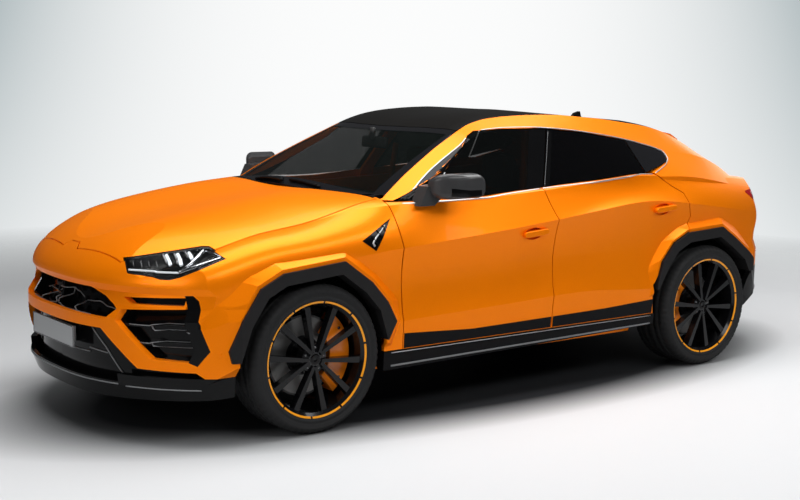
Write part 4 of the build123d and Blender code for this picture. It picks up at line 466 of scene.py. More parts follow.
@dataclass(frozen=True)
class WheelPaint(Finish):
    """Gloss black alloy whose disc and lip are told apart by their distance from the axle."""

    axle: Point = (0.0, 0.0, 0.0)
    outward: int = 1
    disc_inset: float = 0.010
    disc_radii: tuple[float, float] = (0.105, 0.2045)
    disc_colour: Colour = (0.12, 0.118, 0.115)
    rings_per_metre: float = 900.0
    lip_radius: float = 0.2955
    lip_face: float = 0.108
    lip_breaks: int = 10
    lip_colour: Colour = (0.82, 0.31, 0.015)

    def varying(self, graph: Graph) -> dict[str, Any]:
        """Turned brake disc, black spokes and an orange lip with short breaks."""
        x, y, z = graph.axes()
        dx, dz = x - self.axle[0], z - self.axle[2]
        radius = (dx * dx + dz * dz) ** 0.5
        middle = self.axle[1] * self.outward
        disc = radius.between(*self.disc_radii) * (y * self.outward).below(middle - self.disc_inset, 0.001)
        rings = (radius * self.rings_per_metre).sine()
        face = (y * self.outward).above(middle + self.lip_face, 0.001)
        angle = graph.node("ShaderNodeMath", {"operation": "ARCTAN2"}, {0: dz, 1: dx}).value()
        breaks = (angle * (self.lip_breaks / FULL_TURN) + 0.3).fraction() - 0.5
        lip = radius.above(self.lip_radius, 0.001) * face * abs(breaks).below(0.47, 0.01)
        dark = graph.mix(graph.noise(6.0), self.shade(0.8), self.shade(1.3))
        colour = graph.mix(lip, graph.mix(disc, dark, self.disc_colour), self.lip_colour)
        return {"Base Color": colour,
                "Metallic": 0.9 * disc,
                "Roughness": self.roughness + disc * (0.22 + 0.05 * rings) + 0.1 * lip,
                "Coat Weight": self.coat * (1 - disc)}


@dataclass(frozen=True)
class BrakePaint(Finish):
    """Cast upright with a painted caliper."""

    axle: Point = (0.0, 0.0, 0.0)
    caliper_colour: Colour = (0.86, 0.21, 0.005)
    caliper_radius: float = 0.139
    caliper_clear: float = 0.055

    def varying(self, graph: Graph) -> dict[str, Any]:
        """Orange where the caliper straddles the disc."""
        x, y, z = graph.axes()
        dx, dz = x - self.axle[0], z - self.axle[2]
        radius = (dx * dx + dz * dz) ** 0.5
        mask = radius.above(self.caliper_radius, 0.001) * abs(dx).above(self.caliper_clear, 0.001)
        mask = mask * abs(y).above(self.axle[1] - self.caliper_clear, 0.001)
        cast = graph.mix(graph.noise(12.0, 3.0), self.shade(0.8), self.shade(1.2))
        return {"Base Color": graph.mix(mask, cast, self.caliper_colour),
                "Metallic": 0.6 * (1 - mask), "Roughness": self.roughness - 0.28 * mask,
                "Normal": graph.bump(graph.noise(500.0, 2.0), 0.2, 0.0004)}


PAINT = PearlPaint("orange_pearl", (0.93, 0.205, 0.0), 0.35, metallic=0.38, coat=0.06, specular=0.08)
GLOSS_BLACK = Finish("piano_black", (0.003, 0.003, 0.0033), 0.12, specular=0.14)
ROOF_BLACK = Finish("roof_black", (0.006, 0.0055, 0.005), 0.30, specular=0.1)
SATIN_BLACK = Finish("satin_black", (0.005, 0.005, 0.0055), 0.42, grain=0.12, grain_scale=900.0,
                     specular=0.06)
GRAINED_BLACK = Finish("grained_black", (0.008, 0.0075, 0.008), 0.55, grain=0.35, grain_scale=700.0,
                       specular=0.2)
LINER_BLACK = Finish("liner_felt", (0.008, 0.008, 0.008), 0.95, grain=0.6, grain_scale=1200.0, specular=0.1)
PRIMER_BLACK = Finish("satin_primer", (0.02, 0.02, 0.021), 0.6, grain=0.1, grain_scale=500.0)
BRIGHT_TRIM = Finish("brushed_silver_trim", (0.50, 0.50, 0.51), 0.35, metallic=0.9)
DARK_CHROME = Finish("dark_chrome", (0.16, 0.16, 0.165), 0.22, metallic=0.9)
# painted highlight: grey strips along the edges of gloss black parts, where they catch the light
PAINTED_EDGE_HIGHLIGHT = Finish("grey_edge", (0.17, 0.175, 0.18), 0.4, metallic=0.2)
PLATE_GREY = Finish("plate_grey", (0.33, 0.335, 0.34), 0.35, metallic=0.35, grain=0.05, grain_scale=500.0)
RUBBER = Finish("tyre_rubber", (0.010, 0.010, 0.0105), 0.78, grain=0.3, grain_scale=900.0, specular=0.3)
CAST_METAL = Finish("cast_alloy", (0.11, 0.11, 0.115), 0.55, metallic=0.6, grain=0.35, grain_scale=500.0)
PIPE_STEEL = Finish("pipe_steel", (0.30, 0.30, 0.31), 0.3, metallic=0.95)
SOFT_BLACK = Finish("soft_touch_black", (0.014, 0.014, 0.014), 0.65, grain=0.3, grain_scale=800.0)
SEAT_BLACK = Leather("seat_leather_black", (0.016, 0.0155, 0.015))
SEAT_ORANGE = Leather("seat_leather_orange", (0.55, 0.11, 0.006))
LAMP_INNER = Finish("lamp_inner", (0.003, 0.003, 0.0035), 0.3, specular=0.3)
LED_WHITE = Emissive("led_white", (0.85, 0.90, 0.95), 0.1, glow=0.55)
REFLECTOR = Finish("lamp_reflector", (0.55, 0.57, 0.60), 0.12, metallic=1.0)
MIRROR_GLASS = Finish("mirror_glass", (0.75, 0.77, 0.78), 0.03, metallic=1.0)
MIRROR_CAP = CarbonWeave("mirror_cap", (0.03, 0.03, 0.031), 0.3, coat=0.15, specular=0.3)
DISPLAY = Emissive("display_glass", (0.01, 0.012, 0.016), 0.06, glow=0.02)
RED_LENS = Finish("red_lens", (0.30, 0.004, 0.008), 0.08, coat=0.8)
RED_GLOW = Emissive("red_light_bar", (0.80, 0.03, 0.05), 0.2, glow=0.35)
CLEAR_GLASS = ScreenGlass("door_glass", (0.003, 0.0035, 0.0035), specular=0.35, alpha=0.72)
DARK_GLASS = ScreenGlass("rear_door_glass", (0.002, 0.002, 0.0023), specular=0.3, alpha=0.93)
LAMP_LENS = ScreenGlass("lamp_lens", (0.01, 0.011, 0.012), specular=0.4, alpha=0.18)


# ------------------------------------------------------------------ mesh helpers
def dress(piece: bpy.types.Object, finish: Finish) -> None:
    """Gives an object one finish all over."""
    piece.data.materials.clear()
    piece.data.materials.append(finish.material())


def mesh_piece(name: str, points: Sequence[Point], faces: Sequence[Sequence[int]], finish: Finish,
               smooth: bool = True) -> bpy.types.Object:
    """Makes an object from points and faces.

    Args:
        name: the piece's name.
        points: its corners.
        faces: the corners of each face.
        finish: its surface finish.
        smooth: True to shade its faces smooth.

    Returns:
        The object.
    """
    mesh = bpy.data.meshes.new(name)
    mesh.from_pydata([tuple(point) for point in points], [], [tuple(face) for face in faces])
    work = bmesh.new()
    work.from_mesh(mesh)
    bmesh.ops.remove_doubles(work, verts=work.verts, dist=1e-6)
    bmesh.ops.recalc_face_normals(work, faces=work.faces)
    for face in work.faces:
        face.smooth = smooth
    work.to_mesh(mesh)
    work.free()
    piece = bpy.data.objects.new(name, mesh)
    bpy.context.scene.collection.objects.link(piece)
    piece.data.materials.append(finish.material())
    return piece


def soften(piece: bpy.types.Object, width: float, segments: int = 2, subdivide: int = 0) -> None:
    """Rounds a piece's sharp edges and subdivides it.

    Args:
        piece: the object.
        width: the width of the rounding, in metres.
        segments: faces across the rounding.
        subdivide: how often to subdivide.
    """
    if width:
        bevel = piece.modifiers.new("rounding", "BEVEL")
        bevel.width, bevel.segments, bevel.limit_method = width, segments, "ANGLE"
        bevel.angle_limit = math.radians(35)
        bevel.harden_normals = False
    if subdivide:
        piece.modifiers.new("smoothing", "SUBSURF").render_levels = subdivide
        piece.modifiers["smoothing"].levels = subdivide


def ring_faces(rings: int, size: int, closed: bool = True) -> list[tuple[int, ...]]:
    """The faces between rings of points.

    Args:
        rings: the number of rings.
        size: points in each ring.
        closed: True where the last ring joins the first.

    Returns:
        The faces, as indices of the points.
    """
    faces = []
    for ring in range(rings if closed else rings - 1):
        here, other = ring * size, (ring + 1) % rings * size
        for row in range(size):
            step = (row + 1) % size
            faces.append((here + row, here + step, other + step, other + row))
    return faces


def swept(name: str, path: Sequence[Vector], normals: Sequence[Vector],
          section: Sequence[tuple[float, float]],
          finish: Finish, closed: bool = False,
          scale: Optional[Callable[[float], float]] = None) -> bpy.types.Object:
    """Carries a section along a path.

    Args:
        name: the piece's name.
        path: points along the path.
        normals: the way up of the section at each point.
        section: points (across, up) of the closed section.
        finish: its surface finish.
        closed: True where the path is a loop.
        scale: the section's size at a share of the path, from 0 to 1.

    Returns:
        The object.
    """
    points: list[Vector] = []
    count, size = len(path), len(section)
    for index, here in enumerate(path):
        before = path[index - 1] if index or closed else here
        after = path[(index + 1) % count] if index < count - 1 or closed else here
        along = (after - before).normalized()
        up = (normals[index] - along * normals[index].dot(along)).normalized()
        across = along.cross(up)
        factor = scale(index / max(count - 1, 1)) if scale else 1.0
        points += [here + across * (a * factor) + up * (b * factor) for a, b in section]
    faces = ring_faces(count, size, closed)
    if not closed:
        faces.append(tuple(range(size)))
        faces.append(tuple((count - 1) * size + side for side in reversed(range(size))))
    return mesh_piece(name, points, faces, finish)


def bar_section(width: float, height: float, sink: float = 0.0) -> list[tuple[float, float]]:
    """A flat bar's section with softened corners, sunk a little into what it lies on."""
    w, c = width / 2, min(width, height) * 0.25
    return [(-w, -sink), (w, -sink), (w, height - c), (w - c, height), (-w + c, height), (-w, height - c)]


def round_section(radius: float, count: int = 12) -> list[tuple[float, float]]:
    """A round section."""
    return [(radius * math.cos(angle), radius * math.sin(angle)) for angle in around(count)]


def resampled(points: Sequence[Point], step: float, closed: bool = False) -> list[Vector]:
    """Points at an even distance along a line."""
    corners = [Vector(point) for point in points]
    if closed:
        corners.append(corners[0])
    result: list[Vector] = []
    for here, there in zip(corners, corners[1:]):
        parts = max(1, round((there - here).length / step))
        result += [here.lerp(there, i / parts) for i in range(parts)]
    if not closed:
        result.append(corners[-1])
    return result


def smoothed(points: Sequence[Point], rounds: int = 2, closed: bool = False) -> list[Vector]:
    """A line with its corners cut, as a spline would."""
    line = [Vector(point) for point in points]
    for _ in range(rounds):
        cut: list[Vector] = [] if closed else [line[0]]
        pairs = zip(line, line[1:] + line[:1]) if closed else zip(line, line[1:])
        for here, there in pairs:
            cut += [here.lerp(there, 0.25), here.lerp(there, 0.75)]
        if not closed:
            cut.append(line[-1])
        line = cut
    return line


def lathe(name: str, profile: Line, centre: Point, finish: Finish, outward: int = 1,
          segments: int = 96) -> bpy.types.Object:
    """Turns a closed profile round a line along Y.

    Args:
        name: the piece's name.
        profile: points (outward from the centre, radius).
        centre: the centre.
        finish: its surface finish.
        outward: 1 for the left side, -1 for the right.
        segments: faces round the turn.

    Returns:
        The object.
    """
    points = [(centre[0] + radius * math.cos(angle), centre[1] + out * outward,
               centre[2] + radius * math.sin(angle))
              for angle in around(segments) for out, radius in profile]
    return mesh_piece(name, points, ring_faces(segments, len(profile)), finish)


def prism(name: str, outline: Sequence[Point], way: Vector, finish: Finish,
          rounding: float = 0.0) -> bpy.types.Object:
    """A flat outline carried along a direction into a solid plate.

    Args:
        name: the piece's name.
        outline: its corners.
        way: from one face to the other.
        finish: its surface finish.
        rounding: the width of its rounded edges.

    Returns:
        The object.
    """
    corners = [Vector(point) for point in outline]
    count = len(corners)
    points = corners + [corner + way for corner in corners]
    faces = [tuple(range(count)), tuple(range(2 * count - 1, count - 1, -1))]
    faces += [(i, (i + 1) % count, (i + 1) % count + count, i + count) for i in range(count)]
    piece = mesh_piece(name, points, faces, finish, smooth=bool(rounding))
    if rounding:
        soften(piece, rounding)
    return piece


def mirrored(piece: bpy.types.Object, name: str) -> bpy.types.Object:
    """A copy of a piece on the other side of the centre plane."""
    mesh = piece.data.copy()
    mesh.transform(Matrix.Scale(-1, 4, (0, 1, 0)))
    mesh.flip_normals()
    copy = piece.copy()
    copy.data, copy.name = mesh, name
    mesh.name = name
    bpy.context.scene.collection.objects.link(copy)
    return copy


class Skin:
    """The surface of some CAD nodes, on which trims are laid."""

    def __init__(self, frame: dict[str, Any], nodes: Iterable[str]) -> None:
        """Gathers the faces of the named nodes."""
        points: list[Vector] = []
        faces: list[tuple[int, ...]] = []
        for name in nodes:
            node = frame["nodes"][name]
            base = len(points)
            points += [node.matrix_world @ vertex.co for vertex in node.data.vertices]
            faces += [tuple(base + index for index in face.vertices) for face in node.data.polygons]
        self.tree = BVHTree.FromPolygons(points, faces)

    def hit(self, start: Point, way: Point) -> Optional[tuple[Vector, Vector]]:
        """Where a ray meets the surface, and the surface's normal there, towards the start."""
        direction = Vector(way).normalized()
        place, normal, _, _ = self.tree.ray_cast(Vector(start), direction)
        if place is None:
            return None
        return place, -normal if normal.dot(direction) > 0 else normal

    def lay(self, view: View, line: Line, step: float = 0.02, lift: float = 0.0) -> Laid:
        """Lays a flat line on the surface.

        Args:
            view: where the line is seen from.
            line: its points, in the view's two coordinates.
            step: the distance between the points that are laid.
            lift: how far off the surface they lie.

        Returns:
            The points, and the surface's normals there.
        """
        path, normals = [], []
        for start in resampled([view.ray(flat) for flat in line], step):
            found = self.hit(start, view.way)
            if found:
                path.append(found[0] + found[1] * lift)
                normals.append(found[1])
        return path, normals


def joined(name: str, pieces: Sequence[bpy.types.Object]) -> bpy.types.Object:
    """Makes one object of several, with their modifiers applied and their materials kept."""
    graph = bpy.context.evaluated_depsgraph_get()
    work = bmesh.new()
    slots: list[bpy.types.Material] = []
    for piece in pieces:
        solid = bpy.data.meshes.new_from_object(piece.evaluated_get(graph))
        before = len(work.faces)
        work.from_mesh(solid)
        work.faces.ensure_lookup_table()
        for index in range(before, len(work.faces)):
            material = piece.data.materials[work.faces[index].material_index]
            if material not in slots:
                slots.append(material)
            work.faces[index].material_index = slots.index(material)
    mesh = bpy.data.meshes.new(name)
    work.to_mesh(mesh)
    work.free()
    for material in slots:
        mesh.materials.append(material)
    for piece in pieces:
        bpy.data.objects.remove(piece, do_unlink=True)
    result = bpy.data.objects.new(name, mesh)
    bpy.context.scene.collection.objects.link(result)
    return result


def blend(first: Point, second: Point, share: float) -> tuple[float, float]:
    """The flat point at a share of the way from one to another."""
    return first[0] + (second[0] - first[0]) * share, first[1] + (second[1] - first[1]) * share


def point_at(line: Line, share: float) -> tuple[float, float]:
    """The point at a share of a flat line's length."""
    lengths = [math.dist(here, there) for here, there in zip(line, line[1:])]
    goal = share * sum(lengths)
    for here, there, size in zip(line, line[1:], lengths):
        if goal <= size or there is line[-1]:
            return blend(here, there, min(goal / size, 1.0) if size else 0.0)
        goal -= size
    return tuple(line[-1])


def patch(name: str, skin: Skin, view: View, first: Line, second: Line, finish: Finish,
          thickness: float = 0.003, count: int = 24, across: int = 6,
          sunk: float = 0.002) -> bpy.types.Object:
    """A thin sheet laid on a surface between two lines.

    Args:
        name: the piece's name.
        skin: the surface that it lies on.
        view: where the lines are seen from.
        first: one edge, in the view's two coordinates.
        second: the other edge, in the same order.
        finish: its surface finish.
        thickness: how proud it stands.
        count: faces along each edge.
        across: faces from edge to edge.
        sunk: how far it reaches into the surface.

    Returns:
        The object.
    """
    flats = [blend(point_at(first, step / count), point_at(second, step / count), row / across)
             for step in range(count + 1) for row in range(across + 1)]
    hits = [skin.hit(view.ray(flat), view.way) for flat in flats]
    met = [index for index, found in enumerate(hits) if found]
    if not met:
        raise ValueError(f"{name} misses its surface")
    rest = [index for index in range(3) if index != view.value[0]]
    outer: list[Vector] = []
    inner: list[Vector] = []
    for index, flat in enumerate(flats):
        found = hits[index] or hits[min(met, key=lambda other: math.dist(flats[other], flat))]
        place = found[0].copy()
        place[rest[0]], place[rest[1]] = flat
        outer.append(place + found[1] * thickness)
        inner.append(place - found[1] * sunk)
    size = across + 1
    total = len(outer)
    faces = []
    for step in range(count):
        for row in range(across):
            corner = step * size + row
            quad = (corner, corner + 1, corner + size + 1, corner + size)
            faces.append(quad)
            faces.append(tuple(index + total for index in reversed(quad)))
    rim = list(range(size)) + [step * size + across for step in range(1, count + 1)]
    rim += [count * size + row for row in reversed(range(across))]
    rim += [step * size for step in reversed(range(1, count))]
    faces += [(a, b, b + total, a + total) for a, b in zip(rim, rim[1:] + rim[:1])]
    return mesh_piece(name, outer + inner, faces, finish, smooth=False)


def padded_block(name: str, centre: Point, size: Point, tilt: float, finish: Finish, crown: float = 0.02,
                 seams: Sequence[float] = (), cross_seams: Sequence[float] = (), bolster: float = 0.0,
                 power: float = 5.0, grid: int = 20) -> bpy.types.Object:
    """A crowned cushion with sewn channels and raised side bolsters.

    Args:
        name: the piece's name.
        centre: its middle.
        size: length, width and thickness.
        tilt: how far it leans back about Y, in degrees.
        finish: its surface finish.
        crown: how far its face swells.
        seams: places of the lengthwise seams, from -1 to 1.
        cross_seams: places of the cross seams, from -1 to 1.
        bolster: how far its sides stand above the middle.
        power: how square its corners are.
        grid: faces along each edge.

    Returns:
        The object.
    """
    turn = Matrix.Rotation(math.radians(tilt), 4, "Y")
    points: list[Vector] = []
    faces: list[tuple[int, ...]] = []
    for axis in range(3):
        for sign in (-1, 1):
            base = len(points)
            for i in range(grid + 1):
                for j in range(grid + 1):
                    cube = [0.0, 0.0, 0.0]
                    cube[axis] = sign
                    cube[(axis + 1) % 3] = 2 * i / grid - 1
                    cube[(axis + 2) % 3] = 2 * j / grid - 1
                    norm = sum(abs(c) ** power for c in cube) ** (1 / power)
                    a, b, c = (value / norm for value in cube)
                    swell = crown * max(0.0, 1 - a * a) * max(0.0, 1 - b * b)
                    swell += bolster * max(0.0, min(1.0, (abs(b) - 0.55) / 0.3)) * max(0.0, 1 - abs(b) ** 8)
                    dip = sum(math.exp(-(((b - seam) * size[1] / 2) / SEAM_WIDTH) ** 2) for seam in seams)
                    dip += sum(math.exp(-(((a - seam) * size[0] / 2) / SEAM_WIDTH) ** 2)
                               for seam in cross_seams if abs(b) < 0.6)
                    height = c * size[2] / 2 + (swell - SEAM_DEPTH * min(dip, 1.0) if c > 0 else 0.0)
                    place = Vector((a * size[0] / 2, b * size[1] / 2, height))
                    points.append(Vector(centre) + turn @ place)
            for i in range(grid):
                for j in range(grid):
                    corner = base + i * (grid + 1) + j
                    faces.append((corner, corner + 1, corner + grid + 2, corner + grid + 1))
    return mesh_piece(name, points, faces, finish)


def rounded_box(name: str, centre: Point, size: Point, finish: Finish, rounding: float,
                turn: Optional[Matrix] = None) -> bpy.types.Object:
    """A box with rounded edges.

    Args:
        name: the piece's name.
        centre: its middle.
        size: its three sides.
        finish: its surface finish.
        rounding: the radius of its edges.
        turn: a rotation about its middle.

    Returns:
        The object.
    """
    half = [side / 2 for side in size]
    points = []
    for sx, sy, sz in ((-1, -1, -1), (1, -1, -1), (1, 1, -1), (-1, 1, -1),
                       (-1, -1, 1), (1, -1, 1), (1, 1, 1), (-1, 1, 1)):
        place = Vector((sx * half[0], sy * half[1], sz * half[2]))
        points.append(Vector(centre) + (turn @ place if turn else place))
    faces = [(0, 3, 2, 1), (4, 5, 6, 7), (0, 1, 5, 4), (1, 2, 6, 5), (2, 3, 7, 6), (3, 0, 4, 7)]
    piece = mesh_piece(name, points, faces, finish)
    soften(piece, rounding, 3)
    return piece


# ------------------------------------------------------------------ sub-assemblies
@dataclass
class SubAssembly:
    """Part of the vehicle: the nodes that it dresses and the pieces that it adds."""

    frame: dict[str, Any]
    made: list[str] = field(default_factory=list)

    def node(self, name: str) -> bpy.types.Object:
        """A CAD node."""
        return self.frame["nodes"][name]

    def finish_nodes(self, finishes: dict[str, Finish]) -> None:
        """Gives CAD nodes their finishes."""
        for name, finish in finishes.items():
            dress(self.node(name), finish)

    def keep(self, piece: bpy.types.Object, body: str, slot: str) -> bpy.types.Object:
        """Puts a piece on its body."""
        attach(piece, body)
        self.made.append(piece.name)
        return piece

    def both(self, piece: bpy.types.Object, stem: str, body: str, slot: str, sided: bool = False) -> None:
        """Keeps a left piece and its mirror image.

        Args:
            piece: the left piece.
            stem: the name that both share.
            body: the body, or the body's name without its side.
            slot: not used.
            sided: True where each side has a body of its own.
        """
        piece.name = piece.data.name = f"{stem}_left"
        other = mirrored(piece, f"{stem}_right")
        self.keep(piece, f"{body}_left" if sided else body, slot)
        self.keep(other, f"{body}_right" if sided else body, slot)

    def strip(self, stem: str, laid: Laid, section: Line, finish: Finish, slot: str, body: str = "body",
              sided: bool = False, scale: Optional[Callable[[float], float]] = None) -> None:
        """Keeps a strip along a line that was laid on the left side, and its mirror image.

        Args:
            stem: the name that both share.
            laid: the line and its normals.
            section: the strip's section.
            finish: its surface finish.
            slot: not used.
            body: the body, or the body's name without its side.
            sided: True where each side has a body of its own.
            scale: the section's size at a share of the line.
        """
        path, normals = laid
        if len(path) > 1:
            self.both(swept(stem, path, normals, section, finish, scale=scale), stem, body, slot, sided)

    def sheet(self, stem: str, skin: Skin, view: View, edges: tuple[Line, Line], finish: Finish, slot: str,
              body: str = "body", sided: bool = False, **form: float) -> None:
        """Keeps a thin sheet between two lines of the left side, and its mirror image.

        Args:
            stem: the name that both share.
            skin: the surface that the sheet lies on.
            view: where its edges are seen from.
            edges: its two edges.
            finish: its surface finish.
            slot: not used.
            body: the body, or the body's name without its side.
            sided: True where each side has a body of its own.
            form: the sheet's thickness and numbers of faces.
        """
        self.both(patch(stem, skin, view, *edges, finish, **form), stem, body, slot, sided)

    def report(self) -> None:
        """Writes what was made to the log."""
        LOG.info("%s: %d pieces", type(self).__name__, len(self.made))


@dataclass
class BodyShell(SubAssembly):
    """Painted panels, roof, trims and their lines."""

    window_line: Line = (
        (0.948, 1.176), (0.848, 1.207), (0.692, 1.299), (0.508, 1.395), (0.399, 1.453), (0.311, 1.507),
        (0.235, 1.533), (0.139, 1.545), (0.0, 1.551), (-0.251, 1.550), (-0.594, 1.520), (-0.956, 1.469),
        (-1.286, 1.396), (-1.316, 1.363), (-1.294, 1.316), (-1.078, 1.252))
    reveal: Line = ((0.925, 1.168), (0.542, 1.328), (0.381, 1.452), (0.330, 1.488))
    reveal_top: tuple[float, float] = (0.330, 1.494)
    vent: Line = ((1.035, 1.092), (1.239, 0.987), (1.157, 0.930))
    slash: Line = ((1.080, 1.058), (1.150, 1.000), (1.176, 0.972), (1.166, 0.955))
    slats: int = 3
    skirt_line: Line = ((1.05, 0.372), (-0.98, 0.372))
    skirt_edge: Line = ((1.05, 0.300), (-0.98, 0.322))

    def build(self) -> None:
        """Makes the trims of the body shell, and a painted highlight along the side skirt."""
        shell = Skin(self.frame, ["side_frame_left", "front_fender_left", "roof_panel"])
        self.strip("window_trim", shell.lay(View.SIDE, smoothed(self.window_line, 2), 0.015),
                   bar_section(0.0065, 0.003, 0.004), BRIGHT_TRIM, "gloss_black")
        outer = [(x, z - 0.002) for x, z in self.window_line[:5]] + [self.reveal_top]
        self.sheet("window_reveal", shell, View.SIDE, (outer, self.reveal), GLOSS_BLACK, "gloss_black",
                   thickness=0.001, count=36)
        self._vent(shell)
        skirt = Skin(self.frame, ["side_skirts"])
        self.strip("skirt_line", skirt.lay(View.SIDE, self.skirt_line, 0.05),
                   bar_section(0.004, 0.003, 0.002),
                   BRIGHT_TRIM, "matte_black")
        # painted highlight: a grey strip along the lower edge of the side skirt
        self.strip("skirt_edge", skirt.lay(View.SIDE, self.skirt_edge, 0.05),
                   bar_section(0.010, 0.003, 0.002),
                   PAINTED_EDGE_HIGHLIGHT, "matte_black")

    def _vent(self, shell: Skin) -> None:
        """The fender vent: a black triangle with a bright slash and slats."""
        tip, low, near = self.vent
        self.sheet("fender_vent", shell, View.SIDE, ((tip, low), (tip, near)), GLOSS_BLACK, "gloss_black",
                   thickness=0.002)
        self.strip("fender_vent_slash", shell.lay(View.SIDE, self.slash, 0.01, 0.002),
                   bar_section(0.012, 0.005, 0.001), BRIGHT_TRIM, "gloss_black",
                   scale=lambda share: 0.35 + 0.65 * share)
        for index in range(self.slats):
            share = 0.30 + 0.22 * index
            line = (blend(tip, low, share), blend(tip, near, share + 0.1))
            self.strip(f"fender_vent_slat_{index + 1}", shell.lay(View.SIDE, line, 0.01, 0.002),
                       bar_section(0.004, 0.006, 0.001), SATIN_BLACK, "gloss_black")

    def dress(self) -> None:
        """Gives the body's nodes their finishes."""
        self.finish_nodes({
            "side_frame_left": PAINT, "side_frame_right": PAINT, "front_fender_left": PAINT,
            "front_fender_right": PAINT, "hood": PAINT, "roof_panel": ROOF_BLACK, "rear_bumper": PAINT,
            "arch_trims": GRAINED_BLACK, "side_skirts": SATIN_BLACK, "wheel_liners": LINER_BLACK,
            "cowl": SATIN_BLACK, "floor_pan": PRIMER_BLACK})


@dataclass(frozen=True)
class DoorLines:
    """The lines of one door: its belt, the top of its lower panel and the edges of its pillar cover."""

    end: End
    belt: Line
    panel: Line
    cover: tuple[Line, Line]


@dataclass
class Doors(SubAssembly):
    """The four doors with their window trims, pillar covers, lower panels and mirrors."""

    lines: tuple[DoorLines, DoorLines] = (
        DoorLines(End.FRONT, ((0.936, 1.164), (0.340, 1.167), (0.150, 1.183), (-0.094, 1.200)),
                  ((0.968, 0.471), (0.489, 0.445), (-0.115, 0.452)),
                  (((-0.119, 1.205), (-0.281, 1.530)), ((0.002, 1.205), (-0.150, 1.534)))),
        DoorLines(End.REAR, ((-0.112, 1.201), (-0.577, 1.225), (-0.959, 1.254), (-1.066, 1.249)),
                  ((-0.131, 0.452), (-0.560, 0.458), (-0.985, 0.476)),
                  (((-0.131, 1.212), (-0.296, 1.528)), ((-0.176, 1.212), (-0.330, 1.526)))))
    panel_foot: float = 0.389
    cover_edge: Line = ((-0.137, 1.212), (-0.299, 1.524))
    corner: tuple[Line, Line] = (((0.930, 1.172), (0.560, 1.318)), ((0.720, 1.172), (0.556, 1.312)))
    corner_edge: Line = ((0.720, 1.174), (0.560, 1.310))
    mirror_glass: tuple[Line, Line] = (((0.965, 1.288), (1.020, 1.300), (1.066, 1.284)),
                                       ((0.965, 1.222), (1.020, 1.212), (1.066, 1.222)))
    mirror_shade: tuple[Line, Line] = (((0.540, 1.236), (0.620, 1.236), (0.725, 1.248)),
                                       ((0.540, 1.206), (0.620, 1.200), (0.725, 1.205)))

    def build(self) -> None:
        """Makes the doors' trims, covers and panels, and the mirrors'."""
        for lines in self.lines:
            end = lines.end.label
            body = f"door_{end}"
            skin = Skin(self.frame, [f"{body}_left", f"glass_{end}_left"])
            self.strip(f"belt_trim_{end}", skin.lay(View.SIDE, lines.belt), bar_section(0.010, 0.003, 0.004),
                       BRIGHT_TRIM, "gloss_black", body, True)
            foot = ((lines.panel[0][0], self.panel_foot), (lines.panel[-1][0], self.panel_foot))
            self.sheet(f"lower_panel_{end}", skin, View.SIDE, (lines.panel, foot), SATIN_BLACK, "matte_black",
                       body, True, count=40)
            self.sheet(f"pillar_cover_{end}", skin, View.SIDE, lines.cover, GLOSS_BLACK, "gloss_black",
                       body, True, thickness=0.0015)
            if lines.end is End.REAR:
                self.strip("pillar_edge", skin.lay(View.SIDE, self.cover_edge, lift=0.0015),
                           bar_section(0.004, 0.002, 0.001), DARK_CHROME, "gloss_black", body, True)
            else:
                self.sheet("mirror_corner", skin, View.SIDE, self.corner, GLOSS_BLACK, "gloss_black", body,
                           True, thickness=0.002)
                self.strip("mirror_corner_edge", skin.lay(View.SIDE, self.corner_edge, lift=0.001),
                           bar_section(0.006, 0.003, 0.001), BRIGHT_TRIM, "gloss_black", body, True)
        shell = Skin(self.frame, ["mirror_left"])
        self.sheet("mirror_glass", shell, View.REAR, self.mirror_glass, MIRROR_GLASS, "gloss_black",
                   "door_front", True, thickness=0.002, count=12)
        self.sheet("mirror_shade", shell, View.SIDE, self.mirror_shade, GLOSS_BLACK, "gloss_black",
                   "door_front", True, thickness=0.002, count=16)

    def dress(self) -> None:
        """Gives the doors' nodes their finishes."""
        for side in Side:
            self.finish_nodes({
                f"door_front_{side.label}": PAINT, f"door_rear_{side.label}": PAINT,
                f"glass_front_{side.label}": CLEAR_GLASS, f"glass_rear_{side.label}": DARK_GLASS,
                f"mirror_{side.label}": MIRROR_CAP})


